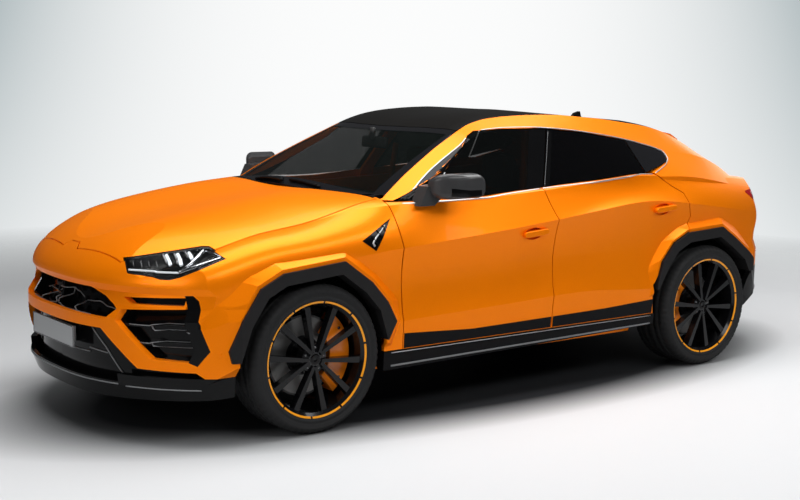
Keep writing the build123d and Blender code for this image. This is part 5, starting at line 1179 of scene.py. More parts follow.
@dataclass
class Lamp(SubAssembly):
    """The headlamps' insides, drawn in millimetres on a plane that follows the lens."""

    origin: Vector = field(default_factory=lambda: Vector((2.176, 0.790, 0.910)))
    along: Vector = field(default_factory=lambda: Vector((-0.82, 0.57, 0.0)).normalized())
    outward: Vector = field(default_factory=lambda: Vector((0.57, 0.82, 0.0)).normalized())
    blocks: tuple[Line, ...] = (((-112, 32), (-84, -8)), ((-56, 38), (-26, -4)), ((0, 46), (22, 22)))
    shade_offset: float = -16.0
    ribs: int = 4

    def guide(self, skin: Skin, stem: str, line: Line, section: Line, depth: float, finish: Finish,
              step: float = 12.0) -> None:
        """A strip behind the lens.

        Args:
            skin: the lens.
            stem: the name of the strips of both lamps.
            line: its points on the lamp's plane.
            section: its section.
            depth: how far it lies behind the lens.
            finish: its surface finish.
            step: the distance between its points.
        """
        path = []
        for u, v in resampled(line, step):
            start = self.origin + self.along * (u * MM) + Vector((0, 0, v * MM))
            found = skin.hit(start + self.outward * 0.5, -self.outward)
            path.append((found[0] if found else start) - self.outward * depth)
        self.strip(stem, (path, [self.outward] * len(path)), section, finish, "clear_glass")

    def build(self) -> None:
        """Makes the light guides, the three light blocks with their shades, and the ribs."""
        skin = Skin(self.frame, ["headlamp_lenses"])
        for name, line, width, depth, finish in (
                ("bar", ((-296, -34), (-150, -36), (-38, -34)), 0.009, 0.020, LED_WHITE),
                ("branch_upper", ((-38, -34), (20, 6), (74, 62)), 0.017, 0.020, REFLECTOR),
                ("branch_lower", ((-38, -34), (60, 0), (166, 32)), 0.019, 0.018, REFLECTOR),
                ("branch_tip", ((84, 58), (130, 46), (166, 32)), 0.015, 0.018, REFLECTOR)):
            self.guide(skin, f"lamp_{name}", line, bar_section(width, 0.006), depth, finish)
        for index, block in enumerate(self.blocks):
            shade = [(u + self.shade_offset, v) for u, v in block]
            step = math.dist(*block) / 6
            self.guide(skin, f"lamp_block_{index + 1}", block, bar_section(0.016, 0.014), 0.024, LED_WHITE,
                       step)
            self.guide(skin, f"lamp_shade_{index + 1}", shade, bar_section(0.010, 0.020), 0.028,
                       DARK_CHROME, step)
        for index in range(self.ribs):
            u = -280 + index * 40
            rib = ((u, 2), (u + 10, -24))
            self.guide(skin, f"lamp_rib_{index + 1}", rib, bar_section(0.005, 0.012), 0.030, DARK_CHROME,
                       math.dist(*rib) / 4)

    def dress(self) -> None:
        """Gives the lamps' nodes their finishes."""
        self.finish_nodes({"headlamps": LAMP_INNER, "headlamp_lenses": LAMP_LENS})


@dataclass
class Nose(SubAssembly):
    """Grilles, intakes, splitter and number plates."""

    # lines of the painted edge highlights on the grilles, intakes and splitter, seen from the front
    grille_edges: tuple[Line, ...] = (
        ((0.0, 0.723), (0.049, 0.723), (0.178, 0.672), (0.300, 0.684), (0.423, 0.656)),
        ((0.049, 0.723), (0.009, 0.645), (0.100, 0.632), (0.231, 0.634), (0.360, 0.633)),
        ((0.178, 0.672), (0.231, 0.634)))
    slat_tops: tuple[float, ...] = (0.612, 0.524)
    lower_edges: tuple[Line, ...] = (
        ((0.318, 0.560), (0.420, 0.470), (0.520, 0.345)), ((0.300, 0.452), (0.430, 0.440)),
        ((0.0, 0.428), (0.300, 0.430)))
    splitter_edge: Line = ((-0.56, 0.306), (0.56, 0.306))
    splitter_corner: Line = ((0.60, 0.300), (0.90, 0.300))
    sensor: Point = (2.078, 1.4, 0.477)
    sensor_radius: float = 0.011
    plate_half: float = 0.259
    plate_high: float = 0.0535
    plates: tuple[tuple[End, float, float], ...] = ((End.FRONT, 2.547, 0.5025), (End.REAR, -2.556, 0.658))

    @staticmethod
    def foremost(path: list[Vector], reach: int, lift: float = 0.0) -> Laid:
        """Moves each point of a line forward to the foremost of its neighbours, so that it bridges gaps."""
        ahead = [Vector((max(p.x for p in path[max(0, index - reach):index + reach + 1]) + lift, point.y,
                         point.z))
                 for index, point in enumerate(path)]
        return ahead, [Vector((1, 0, 0))] * len(ahead)

    def build(self) -> None:
        """Makes the nose's painted edge highlights, grey lines along the grilles, intakes and splitter, and
        its sensors and plate rims.
        """
        intake = Skin(self.frame, ["front_grilles"])
        lower = Skin(self.frame, ["front_splitter"])
        for index, top in enumerate(self.slat_tops):
            fork = (((0.600, top), (0.700, top), (0.716, top + 0.006), (0.860, top + 0.006)),
                    ((0.705, top - 0.002), (0.722, top - 0.022), (0.880, top - 0.022)))
            for part, line in enumerate(fork):
                path, _ = intake.lay(View.FRONT, line, 0.012, 0.001)
                self.strip(f"intake_line_{index + 1}_{part + 1}", self.foremost(path, 1),
                           bar_section(0.004, 0.004, 0.003), PAINTED_EDGE_HIGHLIGHT, "gloss_black")
        for index, line in enumerate(self.grille_edges):
            path, _ = intake.lay(View.FRONT, line, 0.015)
            edge = smoothed(self.foremost(path, 2, 0.001)[0], 1)
            self.strip(f"grille_edge_{index + 1}", (edge, [Vector((1, 0, 0))] * len(edge)),
                       bar_section(0.0045, 0.003, 0.003), PAINTED_EDGE_HIGHLIGHT, "gloss_black")
        for index, line in enumerate(self.lower_edges):
            self.strip(f"lower_edge_{index + 1}", lower.lay(View.FRONT, line, lift=0.001),
                       bar_section(0.006, 0.006, 0.003), PAINTED_EDGE_HIGHLIGHT, "gloss_black")
        lip = bar_section(0.006, 0.004, 0.003)
        path, normals = lower.lay(View.FRONT, self.splitter_edge, 0.03)
        self.keep(swept("splitter_edge", path, normals, lip, PAINTED_EDGE_HIGHLIGHT), "body", "gloss_black")
        self.strip("splitter_corner_edge", lower.lay(View.FRONT, self.splitter_corner), lip, PAINTED_EDGE_HIGHLIGHT,
                   "gloss_black")
        self._sensors()
        self._plates()

    def _sensors(self) -> None:
        """The parking sensors in the corners of the bumper."""
        found = Skin(self.frame, ["front_bumper"]).hit(self.sensor, View.SIDE.way)
        if found:
            ring = [found[0] + Vector((self.sensor_radius * math.cos(a), 0.0006,
                                       self.sensor_radius * math.sin(a)))
                    for a in around(24)]
            self.both(prism("sensor", ring, Vector((0, 0.002, 0)), PAINT, 0.0006), "parking_sensor", "body",
                      "paint")

    def _plates(self) -> None:
        """The rims of the two blank plates."""
        for end, x, z in self.plates:
            corners = [Vector((x, side * self.plate_half, z + rise * self.plate_high))
                       for side, rise in ((-1, -1), (1, -1), (1, 1), (-1, 1))]
            path = resampled(corners, 0.05, True)
            self.keep(swept(f"plate_rim_{end.label}", path, [Vector((end.value, 0, 0))] * len(path),
                            bar_section(0.005, 0.0018, 0.001), DARK_CHROME, closed=True), "body", "plate")

    def dress(self) -> None:
        """Gives the nose's nodes their finishes."""
        self.finish_nodes({"front_bumper": PAINT, "front_grilles": GLOSS_BLACK, "front_splitter": GLOSS_BLACK,
                           "number_plates": PLATE_GREY})


@dataclass
class Tail(SubAssembly):
    """Tailgate, tail lamps, diffuser and exhaust."""

    bars: tuple[Line, ...] = (
        ((0.610, 1.050), (0.700, 1.046), (0.815, 1.074)), ((0.700, 1.046), (0.740, 1.066), (0.815, 1.098)),
        ((0.610, 1.078), (0.690, 1.082), (0.740, 1.066)))
    lamp_tip: tuple[Line, Line] = (((-1.985, 1.104), (-2.060, 1.112), (-2.200, 1.110)),
                                   ((-1.990, 1.092), (-2.060, 1.046), (-2.200, 1.050)))
    panel: tuple[Line, Line] = (((-0.560, 1.090), (0.560, 1.090)), ((-0.560, 1.036), (0.560, 1.036)))
    panel_bar: Line = ((-0.545, 1.080), (0.545, 1.080))
    brake_bar: Line = ((-0.180, 1.450), (0.180, 1.450))
    pipes: tuple[Point, ...] = ((-2.483, 0.430, 0.372), (-2.483, 0.548, 0.372))
    pipe_radius: float = 0.0432

    def build(self) -> None:
        """Makes the light bars, the panel between the lamps, the high brake lamp and the exhaust rims."""
        lamp = Skin(self.frame, ["tail_lamps"])
        for index, line in enumerate(self.bars):
            self.strip(f"tail_lamp_bar_{index + 1}", lamp.lay(View.REAR, line, 0.01),
                       bar_section(0.009, 0.002, 0.002), RED_GLOW, "red_lamp")
        quarter = Skin(self.frame, ["side_frame_left", "tail_lamps"])
        self.sheet("tail_lamp_tip", quarter, View.SIDE, self.lamp_tip, RED_LENS, "red_lamp", thickness=0.002)
        gate = Skin(self.frame, ["tailgate"])
        self.keep(patch("tail_panel", gate, View.REAR, *self.panel, GLOSS_BLACK, count=48), "tailgate",
                  "paint")
        for name, line, lift, section in (
                ("tail_panel_bar", self.panel_bar, 0.003, bar_section(0.005, 0.002, 0.001)),
                ("high_brake_lamp", self.brake_bar, 0.0, bar_section(0.010, 0.003, 0.003))):
            path, normals = gate.lay(View.REAR, line, 0.03, lift)
            if len(path) > 1:
                self.keep(swept(name, path, normals, section, RED_LENS), "tailgate", "red_lamp")
        normals = [Vector((0, math.cos(a), math.sin(a))) for a in around(48)]
        for index, place in enumerate(self.pipes):
            path = [Vector(place) + self.pipe_radius * normal for normal in normals]
            self.both(swept("rim", path, normals, round_section(0.0035, 10), PIPE_STEEL, closed=True),
                      f"exhaust_rim_{index + 1}", "body", "pipe")

    def dress(self) -> None:
        """Gives the tail's nodes their finishes."""
        self.finish_nodes({"tailgate": PAINT, "rear_diffuser": SATIN_BLACK, "tail_lamps": RED_LENS,
                           "exhaust": PIPE_STEEL, "rear_window": DARK_GLASS})


def screen_border(graph: Graph) -> Value:
    """The black border of the windscreen."""
    x, y, _ = graph.axes()
    wide = y * y
    base = x.above(wide * -0.205 + 1.075, 0.004)
    head = x.below(wide * -0.27 + 0.475, 0.004)
    edge = abs(y).above(x * 0.182 + 0.510, 0.004)
    return base.highest(head).highest(edge)


@dataclass
class Windscreen(SubAssembly):
    """Windscreen, wipers and the mirror behind it."""

    wipers: tuple[tuple[Line, Line], ...] = (
        (((1.062, 0.600), (1.098, 0.330), (1.112, 0.060)), ((1.128, 0.640), (1.102, 0.300))),
        (((1.112, -0.020), (1.108, -0.280), (1.075, -0.540)), ((1.138, 0.020), (1.114, -0.260))))
    mirror_tilt: float = -8.0

    def build(self) -> None:
        """Makes the wipers and the inside mirror."""
        glass = Skin(self.frame, ["body_glass"])
        for index, (blade, arm) in enumerate(self.wipers):
            path, normals = glass.lay(View.ABOVE, smoothed(blade, 2), lift=0.010)
            rubber = swept("blade", path, normals, bar_section(0.016, 0.010, 0.006), SATIN_BLACK)
            path, normals = glass.lay(View.ABOVE, smoothed(arm, 1), lift=0.020)
            lever = swept("arm", path, normals, bar_section(0.018, 0.010, 0.008), SATIN_BLACK,
                          scale=lambda share: 1.0 - 0.45 * share)
            self.keep(joined(f"wiper_{index + 1}", [rubber, lever]), "body", "gloss_black")
        turn = Matrix.Rotation(math.radians(self.mirror_tilt), 4, "Y")
        body = rounded_box("shell", (0.470, 0.0, 1.440), (0.030, 0.250, 0.070), SOFT_BLACK, 0.014, turn)
        pane = rounded_box("pane", (0.4545, 0.0, 1.4415), (0.003, 0.232, 0.056), MIRROR_GLASS, 0.001, turn)
        stem = rounded_box("stem", (0.490, 0.0, 1.490), (0.026, 0.040, 0.080), SOFT_BLACK, 0.010, turn)
        self.keep(joined("inside_mirror", [body, pane, stem]), "body", "interior")

    def dress(self) -> None:
        """Gives the screen its glass."""
        self.finish_nodes({"body_glass": ScreenGlass("windscreen", (0.004, 0.0055, 0.005), specular=0.35,
                                                     alpha=0.42, border=screen_border)})


@dataclass
class Wheel(SubAssembly):
    """One wheel: tyre with tread, hub cap and nuts."""

    end: End = End.FRONT
    side: Side = Side.LEFT
    pitches: int = 66
    per_pitch: int = 4
    grooves: tuple[float, ...] = (-0.078, -0.030, 0.030, 0.078)
    groove_half: float = 0.0048
    groove_depth: float = 0.007
    groove_chamfer: float = 0.0014
    sipe_depth: float = 0.0045
    bead_radius: float = 0.292
    cap_inset: float = 0.016
    nuts: int = 5
    nut_circle: float = 0.056

    @property
    def name(self) -> str:
        """The wheel's name in the names of nodes and pieces."""
        return f"{self.end.label}_{self.side.label}"

    def sizes(self) -> tuple[tuple[float, ...], float, float]:
        """The wheel's centre, half its tyre's width and its radius."""
        low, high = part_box(f"tyre_{self.name}")
        centre = tuple((a + b) / 2 for a, b in zip(low, high))
        return centre, (high[1] - low[1]) / 2 - 0.0005, (high[2] - low[2]) / 2 - 0.0003

    def build(self) -> None:
        """Makes the tyre and the small parts of the wheel."""
        centre, half, radius = self.sizes()
        tyre = self._tyre(centre, half, radius)
        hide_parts(f"tyre_{self.name}")
        self.keep(tyre, f"wheel_{self.name}", "tyre")
        face = half - self.cap_inset

        def turned(name: str, profile: Line, place: Point, finish: Finish, segments: int) -> bpy.types.Object:
            """A turned part whose profile is measured from the cap's face."""
            return lathe(name, [(face + out, r) for out, r in profile], place, finish, self.side.value,
                         segments)

        parts = [
            turned("cap", ((-0.030, 0.0), (-0.022, 0.010), (-0.0225, 0.024), (-0.027, 0.033), (-0.034, 0.034),
                           (-0.034, 0.0)), centre, GLOSS_BLACK, 48),
            turned("ring", ((-0.026, 0.033), (-0.024, 0.035), (-0.026, 0.037), (-0.030, 0.037),
                            (-0.030, 0.033)),
                   centre, DARK_CHROME, 48)]
        for index in range(self.nuts):
            angle = math.radians(97 + 360 / self.nuts * index)
            place = (centre[0] + self.nut_circle * math.cos(angle), centre[1],
                     centre[2] + self.nut_circle * math.sin(angle))
            parts.append(turned("nut", ((-0.050, 0.0), (-0.030, 0.0), (-0.029, 0.006), (-0.031, 0.0095),
                                        (-0.050, 0.0095)), place, DARK_CHROME, 6))
        self.keep(joined(f"hub_cap_{self.name}", parts), f"wheel_{self.name}", "rim")

    def _profile(self, half: float, radius: float) -> list[tuple[float, float, int]]:
        """The tyre's section: place across, drop below the tread, and 1 where sipes may cut it."""
        tread = half - 0.040
        rows: list[tuple[float, float, int]] = []
        for place in self.grooves:
            edge = self.groove_half + self.groove_chamfer
            rows += [(place - edge, 0.0, 1), (place - self.groove_half, self.groove_depth, 0),
                     (place + self.groove_half, self.groove_depth, 0), (place + edge, 0.0, 1)]
        rows += [(mark, 0.0, 1) for mark in (-tread, -tread + 0.02, -0.054, 0.0, 0.054, tread - 0.02, tread)]
        rows.sort()
        shoulder = [(half - 0.028, 0.0035, 1), (half - 0.016, 0.010, 1), (half - 0.006, 0.022, 1)]
        wall = [(half - 0.0015, 0.036), (half - 0.0022, 0.0365), (half - 0.001, 0.044),
                (half - 0.002, 0.0445),
                (half, 0.053), (half - 0.001, 0.0535), (half - 0.0025, 0.066), (half - 0.0015, 0.0675),
                (half - 0.0020, 0.073), (half - 0.0060, 0.078), (half - 0.0115, 0.0845)]
        inner = radius - self.bead_radius
        return ([(-y, drop, 0) for y, drop in reversed(wall)]
                + [(-y, drop, cut) for y, drop, cut in reversed(shoulder)]
                + rows + shoulder + [(y, drop, 0) for y, drop in wall]
                + [(half - 0.024, inner, 0), (-half + 0.024, inner, 0)])

    def _tyre(self, centre: Point, half: float, radius: float) -> bpy.types.Object:
        """The tyre: sidewalls with fine ribs, and a grooved tread with slanted sipes."""
        profile = self._profile(half, radius)
        segments = self.pitches * self.per_pitch
        points = []
        for turn, angle in enumerate(around(segments)):
            for y, drop, cut in profile:
                phase = (turn + abs(y) * 5.0 * self.per_pitch) % self.per_pitch
                sipe = self.sipe_depth if cut and phase < 1.0 and abs(y) > 0.012 else 0.0
                r = radius - drop - sipe
                points.append((centre[0] + r * math.cos(angle), centre[1] + y,
                               centre[2] + r * math.sin(angle)))
        return mesh_piece(f"tread_{self.name}", points, ring_faces(segments, len(profile)), RUBBER)

    def dress(self) -> None:
        """Gives the rim its finish."""
        dress(self.node(f"rim_{self.name}"),
              WheelPaint(f"wheel_paint_{self.name}", (0.004, 0.004, 0.0045), 0.14, coat=0.06, specular=0.2,
                         axle=self.sizes()[0], outward=self.side.value))


@dataclass
class RunningGear(SubAssembly):
    """Uprights, suspension and engine."""

    bolt_circle: float = 0.236
    bolt_angle: float = 34.0
    uprights: tuple[tuple[End, tuple[str, ...]], ...] = (
        (End.FRONT, ("knuckle_front_left", "knuckle_front_right")), (End.REAR, ("rear_knuckles",)))

    @staticmethod
    def axle(end: End) -> tuple[float, ...]:
        """The centre of the left wheel of an end."""
        low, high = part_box(f"tyre_{end.label}_left")
        return tuple((a + b) / 2 for a, b in zip(low, high))

    def build(self) -> None:
        """Makes the bolts of the brake calipers, behind the front axle and ahead of the rear one."""
        for end in End:
            x, y, z = self.axle(end)
            for index, sign in enumerate((-1, 1)):
                turn = math.radians((180 if end is End.FRONT else 0) + sign * self.bolt_angle)
                place = (x + self.bolt_circle * math.cos(turn), y, z + self.bolt_circle * math.sin(turn))
                bolt = lathe("bolt", [(0.030, 0.0), (0.036, 0.0), (0.0365, 0.006), (0.034, 0.009),
                                      (0.030, 0.009)],
                             place, DARK_CHROME, 1, 6)
                self.both(bolt, f"caliper_bolt_{end.label}_{index + 1}",
                          "steer" if end is End.FRONT else "body",
                          "cast_metal", end is End.FRONT)

    def dress(self) -> None:
        """Gives the running gear its finishes."""
        for end, names in self.uprights:
            paint = BrakePaint(f"brake_paint_{end.label}", (0.11, 0.11, 0.115), axle=self.axle(end))
            self.finish_nodes({name: paint for name in names})
        self.finish_nodes({"front_suspension": CAST_METAL, "rear_suspension": CAST_METAL,
                           "engine_block": CAST_METAL})


@dataclass
class Cabin(SubAssembly):
    """Seats, belts, dashboard pieces and the steering wheel."""

    seat_x: float = 0.026
    seat_y: float = 0.390
    bench_x: float = -0.877
    floor_top: float = 0.295
    back_tilt: float = -74.0
    head_tilt: float = -80.0
    cushion_tilt: float = -7.0
    dash_tilt: float = -24.0
    lower_display_tilt: float = -50.0
    vent_places: tuple[float, ...] = (-0.60, -0.22, 0.18, 0.62)
    wheel_hub: Point = (0.526, 0.390, 0.975)
    wheel_tilt: float = 24.0
    rim_radius: float = 0.172
    rim_flat: float = 0.150
    belt: tuple[Point, ...] = ((-0.175, 0.640, 1.390), (-0.150, 0.652, 1.200), (-0.110, 0.668, 0.900),
                               (-0.085, 0.672, 0.600))

    def build(self) -> None:
        """Makes the cabin's pieces."""
        self._front_seats()
        self._rear_seat()
        self._dashboard()
        self._steering_wheel()
        self._belts()

    def _front_seats(self) -> None:
        """Two sports seats with bolsters, sewn channels and orange inlays."""
        x, base = self.seat_x, self.floor_top
        for side in Side:
            y = self.seat_y * side.value
            parts = [
                padded_block("cushion", (x + 0.180, y, base + 0.215), (0.50, 0.50, 0.13), self.cushion_tilt,
                             SEAT_BLACK, 0.012, (-0.52, 0.52), (-0.3, 0.3), 0.045),
                padded_block("back", (x - 0.130, y, base + 0.52), (0.68, 0.48, 0.12), self.back_tilt,
                             SEAT_BLACK, 0.010, (-0.52, 0.52), (-0.5, -0.1, 0.3), 0.050),
                padded_block("head", (x - 0.232, y, base + 0.975), (0.22, 0.27, 0.085), self.head_tilt,
                             SEAT_BLACK, 0.012, power=4.0, grid=14),
                padded_block("inlay", (x - 0.060, y, base + 0.60), (0.30, 0.10, 0.03), self.back_tilt,
                             SEAT_ORANGE, 0.006, power=4.0, grid=10)]
            parts += [padded_block("wing", (x - 0.120, y + offset, base + 0.74), (0.22, 0.075, 0.055),
                                   self.back_tilt, SEAT_ORANGE, 0.008, power=4.0, grid=10)
                      for offset in (0.155, -0.155)]
            parts.append(rounded_box("base", (x + 0.140, y, base + 0.075), (0.42, 0.36, 0.145), SOFT_BLACK,
                                     0.02))
            self.keep(joined(f"sports_seat_{side.label}", parts), "body", "seat_leather")
        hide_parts("front_seats")

    def _rear_seat(self) -> None:
        """A rear bench with three places."""
        x, base = self.bench_x, self.floor_top
        parts = [
            padded_block("cushion", (x + 0.170, 0.0, base + 0.215), (0.50, 1.16, 0.13), self.cushion_tilt,
                         SEAT_BLACK, 0.014, (-0.36, 0.36), (0.0,), 0.02, grid=28),
            padded_block("back", (x - 0.120, 0.0, base + 0.50), (0.62, 1.16, 0.12), self.back_tilt,
                         SEAT_BLACK, 0.014, (-0.36, 0.36), (-0.4, 0.1), 0.02, grid=28),
            rounded_box("base", (x + 0.130, 0.0, base + 0.075), (0.38, 1.04, 0.145), SOFT_BLACK, 0.02)]
        parts += [padded_block("head", (x - 0.222, y, base + 0.852), (0.14, 0.25, 0.08), self.head_tilt,
                               SEAT_BLACK, 0.01, power=4.0, grid=12) for y in (-0.40, 0.40)]
        bench = self.keep(joined("rear_bench", parts), "body", "seat_leather")
        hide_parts("rear_seat")

    def _dashboard(self) -> None:
        """The instrument hood, the screens, the vents and the console's parts."""
        turn = Matrix.Rotation(math.radians(self.dash_tilt), 4, "Y")
        steep = Matrix.Rotation(math.radians(self.lower_display_tilt), 4, "Y")
        y = self.seat_y
        hood = [Vector((0.640, y + 0.19 * math.sin(a), 1.085 + 0.085 * math.cos(a)))
                for a in (math.radians(-80 + 8 * index) for index in range(21))]
        normals = [Vector((0, place.y - y, place.z - 1.0)).normalized() for place in hood]
        section = [(-0.07, 0.0), (0.05, 0.0), (0.055, 0.006), (-0.07, 0.010)]
        self.keep(swept("instrument_hood", hood, normals, section, SOFT_BLACK), "body", "interior")
        for name, place, size, rounding, tilt in (
                ("instrument", (0.668, y, 1.083), (0.010, 0.30, 0.12), 0.004, turn),
                ("centre", (0.640, 0.0, 1.045), (0.016, 0.28, 0.13), 0.006, turn),
                ("lower", (0.560, 0.0, 0.905), (0.016, 0.24, 0.15), 0.006, steep)):
            self.keep(rounded_box(f"{name}_display", place, size, DISPLAY, rounding, tilt), "body",
                      "interior")
        for index, across in enumerate(self.vent_places):
            parts = [rounded_box("vent", (0.640, across, 1.010), (0.02, 0.10, 0.055), DARK_CHROME, 0.006,
                                 turn)]
            parts += [rounded_box("slat", (0.628, across, 0.995 + 0.014 * row), (0.006, 0.088, 0.004),
                                  SOFT_BLACK, 0.001, turn) for row in range(3)]
            self.keep(joined(f"air_vent_{index + 1}", parts), "body", "interior")
        selector = rounded_box("selector", (0.12, 0.0, 0.668), (0.11, 0.06, 0.05), GLOSS_BLACK, 0.012)
        cup = lathe("cup", [(-0.035, 0.0), (-0.035, 0.03), (0.035, 0.03), (0.035, 0.0)], (-0.02, 0.0, 0.655),
                    DARK_CHROME, 1, 32)
        self.keep(joined("drive_selector", [selector, cup]), "body", "interior")
        rest = padded_block("arm_rest", (-0.150, 0.0, 0.665), (0.26, 0.20, 0.06), 0, SEAT_BLACK, 0.008,
                            (0.0,), power=4.0, grid=12)
        self.keep(rest, "body", "seat_leather")

    def _rim_reach(self, angle: float) -> float:
        """The steering wheel's radius at an angle, flattened at the bottom."""
        if math.sin(angle) < -0.5:
            return min(self.rim_radius, self.rim_flat / max(0.01, -math.sin(angle)))
        return self.rim_radius

    def _steering_wheel(self) -> None:
        """The steering wheel: a padded rim with three spokes, a boss and its column."""
        tilt = math.radians(self.wheel_tilt)
        axis = Vector((-math.cos(tilt), 0, math.sin(tilt)))
        across = Vector((0, 1, 0))
        up = axis.cross(across).normalized()
        if up.z < 0:
            up = -up
        hub = Vector(self.wheel_hub)

        def way(angle: float) -> Vector:
            """A direction in the wheel's plane."""
            return across * math.cos(angle) + up * math.sin(angle)

        path = [hub + axis * 0.013 + way(angle) * self._rim_reach(angle) for angle in around(64)]
        parts = [swept("rim", path, [axis] * len(path), round_section(0.0155, 14), SEAT_BLACK, closed=True),
                 swept("boss", [hub + axis * out for out in (0.004, 0.022, 0.034)], [across] * 3,
                       round_section(0.056, 32), SOFT_BLACK, scale=lambda share: 1.0 - 0.35 * share * share)]
        for degrees, reach in ((8, 0.166), (172, 0.166), (270, 0.150)):
            path = [hub + axis * 0.012 + way(math.radians(degrees)) * (0.045 + (reach - 0.045) * step / 5)
                    for step in range(6)]
            parts.append(swept("spoke", path, [axis] * 6, bar_section(0.034, 0.012), DARK_CHROME,
                               scale=lambda share: 1.0 - 0.3 * share))
        parts.append(swept("column", [hub - axis * 0.188, hub + axis * 0.006], [across] * 2,
                           round_section(0.0138, 20), SOFT_BLACK))
        wheel = joined("driving_wheel", parts)
        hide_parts("steering_wheel")
        self.keep(wheel, "steering_wheel", "interior")

    def _belts(self) -> None:
        """Orange seat belts that hang by the door posts."""
        path = smoothed(self.belt, 2)
        self.strip("seat_belt", (path, [Vector((0, -1, 0))] * len(path)), bar_section(0.046, 0.0022),
                   SEAT_ORANGE, "seat_leather")

    def dress(self) -> None:
        """Gives the cabin's nodes their finishes."""
        self.finish_nodes({"dashboard": SOFT_BLACK})


# ------------------------------------------------------------------ studio
@dataclass(frozen=True)
class SoftBox:
    """A soft studio lamp."""

    name: str
    place: Point
    target: Point
    size: tuple[float, float]
    power: float

    def light(self) -> None:
        """Hangs the lamp."""
        lamp = bpy.data.lights.new(self.name, "AREA")
        lamp.shape, lamp.size, lamp.size_y, lamp.energy = "RECTANGLE", self.size[0], self.size[1], self.power
        holder = bpy.data.objects.new(self.name, lamp)
        holder.location = self.place
        holder.rotation_euler = (Vector(self.target) - Vector(self.place)).to_track_quat("-Z", "Y").to_euler()
        bpy.context.scene.collection.objects.link(holder)


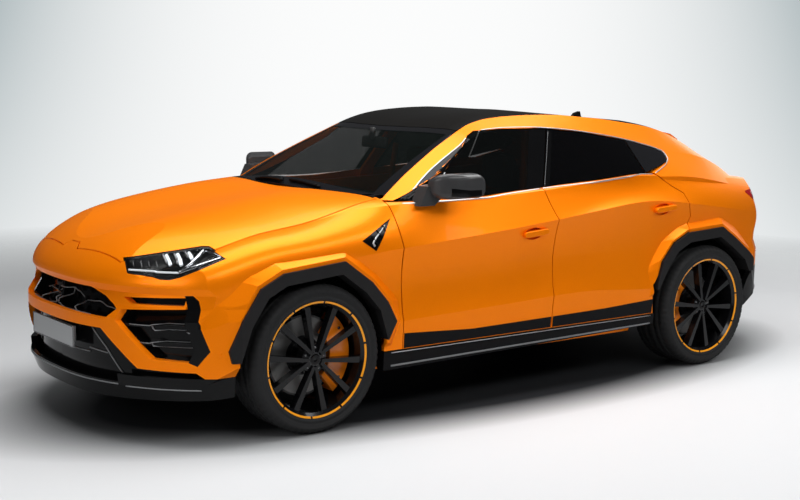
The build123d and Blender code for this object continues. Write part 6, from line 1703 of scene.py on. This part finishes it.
@dataclass
class Studio:
    """Pale floor, white backdrop, soft lamps and the camera."""

    camera_place: Point = (5.2405, 6.5542, 1.8717)
    yaw: float = -2.2201
    pitch: float = 0.1342
    roll: float = 0.0142
    lens: float = 59.73
    floor_size: float = 30.0
    fade_start: float = 4.4
    fade_length: float = 4.0
    # the painted shadow on the floor: the middle and half sizes of its ellipse
    shadow_middle: tuple[float, float] = (0.05, 0.06)
    shadow_half: tuple[float, float] = (2.70, 1.16)
    soft_strength: float = 0.07
    lamps: tuple[SoftBox, ...] = (
        SoftBox("overhead", (0.0, 0.6, 5.2), (0.0, 0.2, 0.6), (8.0, 3.6), 520),
        SoftBox("side", (-0.5, 6.2, 5.0), (-0.4, 0.6, 1.0), (8.0, 1.6), 260),
        SoftBox("front", (7.6, 2.4, 2.6), (1.6, 0.0, 0.7), (3.4, 2.6), 110),
        SoftBox("rear", (-7.0, -1.2, 2.6), (-1.6, 0.0, 0.8), (3.4, 2.6), 55))

    def build(self) -> None:
        """Sets the studio up."""
        self._floor()
        self._world()
        for lamp in self.lamps:
            lamp.light()
        self._camera()
        bpy.context.scene.view_settings.view_transform = "Standard"

    def _floor(self) -> None:
        """A pale floor that fades into the backdrop, with a painted shadow: a nearly black ellipse under the
        vehicle.
        """
        size = self.floor_size
        piece = mesh_piece("floor", [(-size, -size, 0), (size, -size, 0), (size, size, 0), (-size, size, 0)],
                           [(0, 1, 2, 3)], RUBBER, smooth=False)
        material = bpy.data.materials.new("studio_floor")
        material.use_nodes = True
        graph = Graph(material.node_tree)
        x, y, _ = graph.axes()
        far = (x * x + y * y) ** 0.5
        fade = ((far - self.fade_start) / self.fade_length).clamped()
        rays = graph.node("ShaderNodeLightPath")
        seen = rays.value("Is Camera Ray").highest(rays.value("Is Transmission Ray"))
        # painted shadow: inside an ellipse under the vehicle the floor's colour is nearly black
        along = (x - self.shadow_middle[0]) / self.shadow_half[0]
        across = (y - self.shadow_middle[1]) / self.shadow_half[1]
        lit = ((across * across + along * along) ** 0.5).above(1.0, 0.34)
        matt = graph.node("ShaderNodeBsdfPrincipled", None, {
            "Base Color": graph.mix(lit, (0.02, 0.021, 0.023), (0.56, 0.57, 0.58)), "Roughness": 0.6,
            "Specular IOR Level": 0.1})
        clear = graph.node("ShaderNodeBsdfTransparent")
        mixed = graph.node("ShaderNodeMixShader", None, {0: fade * seen, 1: matt.out(), 2: clear.out()})
        graph.node("ShaderNodeOutputMaterial", None, {"Surface": mixed.out()})
        piece.data.materials.clear()
        piece.data.materials.append(material)

    def _world(self) -> None:
        """A white backdrop for the camera and an even, dimmer light for the object."""
        world = bpy.data.worlds.new("studio")
        bpy.context.scene.world = world
        world.use_nodes = True
        graph = Graph(world.node_tree)
        rays = graph.node("ShaderNodeLightPath")
        seen = rays.value("Is Camera Ray").highest(rays.value("Is Transmission Ray"))
        direct = graph.node("ShaderNodeBackground", None, {"Color": self._backdrop(graph), "Strength": 1.0})
        soft = graph.node("ShaderNodeBackground", None,
                          {"Color": (0.80, 0.83, 0.86), "Strength": self.soft_strength})
        mixed = graph.node("ShaderNodeMixShader", None, {0: seen, 1: soft.out(), 2: direct.out()})
        graph.node("ShaderNodeOutputWorld", None, {"Surface": mixed.out()})

    def _backdrop(self, graph: Graph) -> bpy.types.NodeSocket:
        """The backdrop's colour: white behind the vehicle, cool grey far to either side."""
        way = graph.node("ShaderNodeSeparateXYZ", None, {
            0: graph.node("ShaderNodeTexCoord").out("Generated")})
        east, north, up = way.value("X"), way.value("Y"), way.value("Z")
        aside = abs(east * math.sin(self.yaw) - north * math.cos(self.yaw)) / 0.30
        high = ((up + 0.14) / 0.20).clamped()
        fade = (aside ** 3.0 * (0.35 + 0.65 * high)).lowest(1.0)
        return graph.mix(fade, (0.97, 0.975, 0.975), (0.36, 0.43, 0.45))

    def _camera(self) -> None:
        """Places the camera."""
        forward = Vector((math.cos(self.yaw) * math.cos(self.pitch),
                          math.sin(self.yaw) * math.cos(self.pitch),
                          -math.sin(self.pitch)))
        right = forward.cross(Vector((0, 0, 1))).normalized()
        up = right.cross(forward)
        right, up = (right * math.cos(self.roll) + up * math.sin(self.roll),
                     up * math.cos(self.roll) - right * math.sin(self.roll))
        data = bpy.data.cameras.new("studio_camera")
        data.lens, data.sensor_width = self.lens, 36.0
        camera = bpy.data.objects.new("studio_camera", data)
        matrix = Matrix((right, up, -forward)).transposed().to_4x4()
        matrix.translation = Vector(self.camera_place)
        camera.matrix_world = matrix
        bpy.context.scene.collection.objects.link(camera)
        bpy.context.scene.camera = camera


def main() -> None:
    """Builds the vehicle's looks and the studio."""
    logging.basicConfig(level=logging.INFO, format="%(name)s: %(message)s")
    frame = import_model()
    Studio().build()
    wheels = [Wheel(frame, end=end, side=side) for end in End for side in Side]
    for part in (BodyShell(frame), Doors(frame), Windscreen(frame), Lamp(frame), Nose(frame), Tail(frame),
                 RunningGear(frame), Cabin(frame), *wheels):
        part.build()
        part.dress()
        part.report()
    bpy.context.view_layer.update()


if __name__ == "__main__":
    main()
